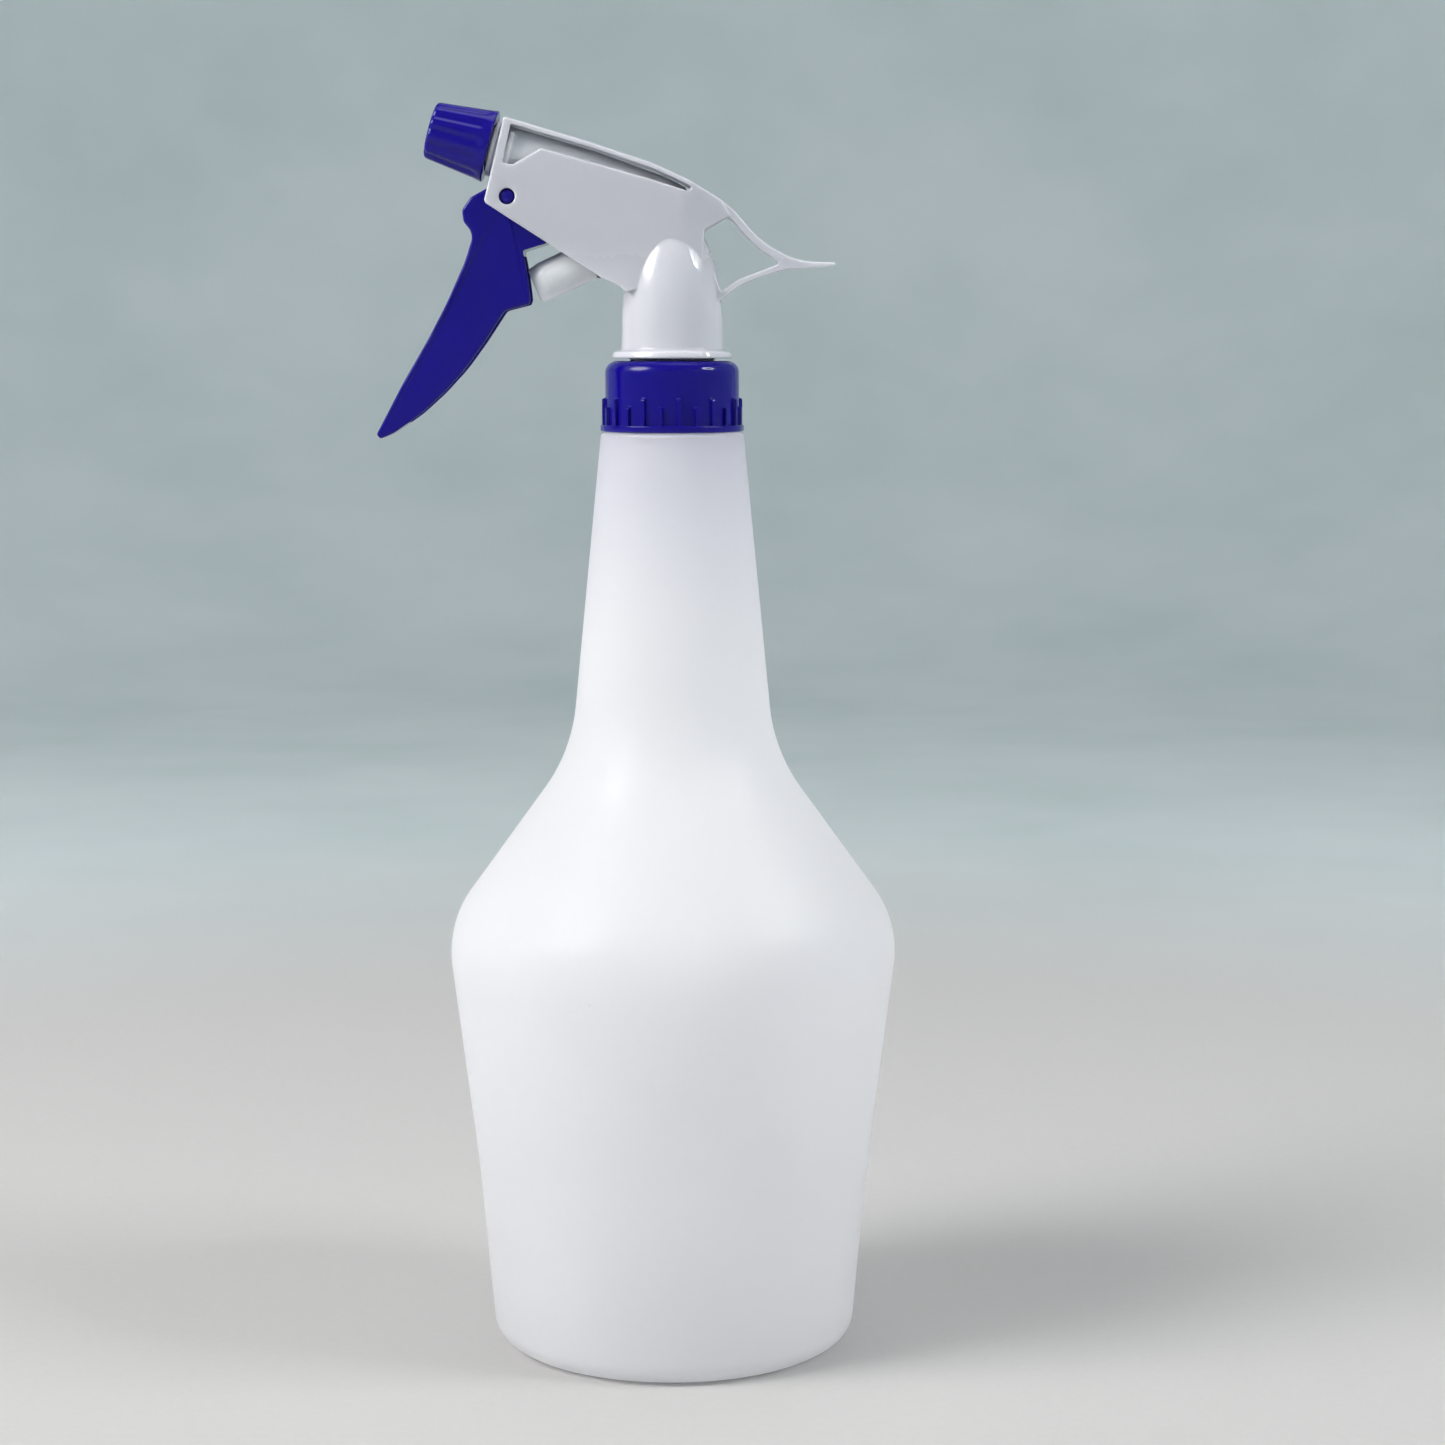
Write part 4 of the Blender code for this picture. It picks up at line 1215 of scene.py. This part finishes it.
def seal_rubber():
    """Dark soft rubber with a talc bloom."""
    shader = Shader("seal_rubber")
    bloom = shader.ranged(shader.noise(0.6, 4.0, 0.7), 0.45, 0.75)
    shader.drive("Base Color", shader.mixed(bloom, rgba((0.035, 0.035, 0.038)), rgba((0.075, 0.074, 0.072))))
    shader.drive("Roughness", shader.ranged(bloom, 0.0, 1.0, 0.5, 0.7))
    shader.drive("Normal", shader.bump(shader.noise(9.0, 3.0), 0.004))
    return shader.material


def studio_paper():
    """The matt surround: pale and warm under the bottle, turning to a quiet grey-green further out."""
    shader = Shader("studio_paper")
    fibre = shader.noise(0.4, 4.0, 0.6)
    blotches = shader.noise(0.004, 3.0, 0.6)
    away = shader.add("VectorMath", {0: shader.place}, operation="LENGTH").outputs["Value"]
    near = shader.mixed(shader.ranged(fibre, 0.3, 0.7), rgba((0.50, 0.49, 0.482)), rgba((0.52, 0.51, 0.502)))
    far = shader.mixed(shader.ranged(blotches, 0.3, 0.7), rgba((0.52, 0.59, 0.60)), rgba((0.60, 0.66, 0.675)))
    shader.drive("Base Color", shader.mixed(shader.ranged(away, 0.42, 0.8), near, far))
    shader.drive("Roughness", shader.ranged(fibre, 0.3, 0.7, 0.8, 0.9))
    return shader.material


# ---------------------------------------------------------------- studio


def add_surround():
    """A pale floor that curves up into a round wall, open to the sky."""
    radius, sweep, height, thickness = 2.4, 1.0, 2.6, 0.05
    angles = spread(math.pi / 2, 24)
    corner = [(radius - sweep + sweep * math.sin(a), sweep - sweep * math.cos(a)) for a in angles]
    inside = [(0.0, 0.0), *corner, (radius, height)]
    outside = [(radius + thickness, height), (radius + thickness, -thickness), (0.0, -thickness)]
    mesh = mesh_of("pale_surround", turned(inside + outside, even(160)))
    mesh.shade_smooth()
    mesh.set_sharp_from_angle(angle=SMOOTH_ANGLE)
    mesh.materials.append(studio_paper())
    surround = linked("pale_surround", mesh)


def towards(place):
    """The rotation that points a lamp's -Z from this place at the bottle."""
    return (AIM - Vector(place)).to_track_quat("-Z", "Y").to_euler()


def add_lamp(name, bm, place, material):
    """A lamp made of a glowing mesh, which the camera doesn't see."""
    mesh = mesh_of(name, bm)
    mesh.materials.append(material)
    lamp = linked(name, mesh)
    lamp.location = place
    lamp.rotation_euler = towards(place)
    lamp.visible_camera = False


def glow(name, strength, fade=None, color=(1.0, 0.985, 0.98, 1.0)):
    """A lamp's glow. With fade (bright to, dark from) in metres, it dies away from its middle to its rim."""
    shader = Shader(name)
    shader.fixed(Base_Color=(0.0, 0.0, 0.0, 1.0), Emission_Color=color, Emission_Strength=strength)
    if fade:
        away = shader.add("VectorMath", {0: shader.place}, operation="LENGTH").outputs["Value"]
        shader.drive("Emission Strength", shader.ranged(away, *fade, strength, 0.0))
    return shader.material


def add_softbox(name, place, radius, strength):
    """A round soft lamp whose light dies away towards its rim."""
    disc = turned([(0.0, 0.0), (radius, 0.0), (radius, 0.01), (0.0, 0.01)], even(48))
    add_lamp(name, disc, place, glow(name, strength, fade=(0.45 * radius, radius)))


def add_light():
    """A large soft lamp at the left, a ring lamp at the right, a weak one above and a pale sky."""
    add_softbox("left_softbox", LEFT_PLACE, LEFT_RADIUS, LEFT_GLOW)
    add_softbox("top_softbox", TOP_PLACE, TOP_RADIUS, TOP_GLOW)
    band = ring(RING_RADIUS - RING_WIDTH, RING_RADIUS, -RING_WIDTH / 4, RING_WIDTH / 4, RING_WIDTH / 8)
    cool_glow = glow("ring_lamp", RING_GLOW, color=(0.97, 0.985, 1.0, 1.0))
    add_lamp("ring_lamp", turned(band), RING_PLACE, cool_glow)
    world = bpy.data.worlds.new("pale_sky")
    bpy.context.scene.world = world
    world.use_nodes = True
    sky = world.node_tree.nodes["Background"]
    sky.inputs["Color"].default_value = (0.97, 0.975, 1.0, 1.0)
    sky.inputs["Strength"].default_value = SKY_GLOW


def add_camera():
    """The camera at the height and distance of an eye-level product view."""
    camera = bpy.data.cameras.new("camera")
    camera.lens = CAMERA_LENS
    camera.sensor_width = 36.0
    obj = linked("camera", camera)
    obj.location = CAMERA_PLACE
    obj.rotation_euler = (math.radians(90.0 - CAMERA_PITCH), 0.0, 0.0)
    bpy.context.scene.camera = obj


def add_pieces():
    """Every piece of the bottle."""
    blue, white, clear = blue_plastic(), white_plastic(), clear_plastic()
    steel, rubber = spring_steel(), seal_rubber()
    add_bottle(milky_hdpe())
    add_collar(blue)
    add_housing(white)
    add_valve_body(clear)
    add_trigger(blue)
    add_nozzle(blue)
    add_pump(clear, steel, rubber)
    add_barrel_insides(clear, steel, rubber)
    add_suction(white, clear, rubber, steel)


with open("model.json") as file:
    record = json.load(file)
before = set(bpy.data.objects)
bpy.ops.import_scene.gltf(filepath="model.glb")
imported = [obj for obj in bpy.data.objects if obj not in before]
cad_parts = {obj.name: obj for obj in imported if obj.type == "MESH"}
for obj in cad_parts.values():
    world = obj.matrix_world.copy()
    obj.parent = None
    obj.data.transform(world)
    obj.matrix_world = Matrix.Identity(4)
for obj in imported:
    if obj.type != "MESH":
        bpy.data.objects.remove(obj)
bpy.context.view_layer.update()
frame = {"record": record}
add_camera()
add_surround()
add_light()
add_pieces()
bpy.context.scene.view_settings.view_transform = "Standard"
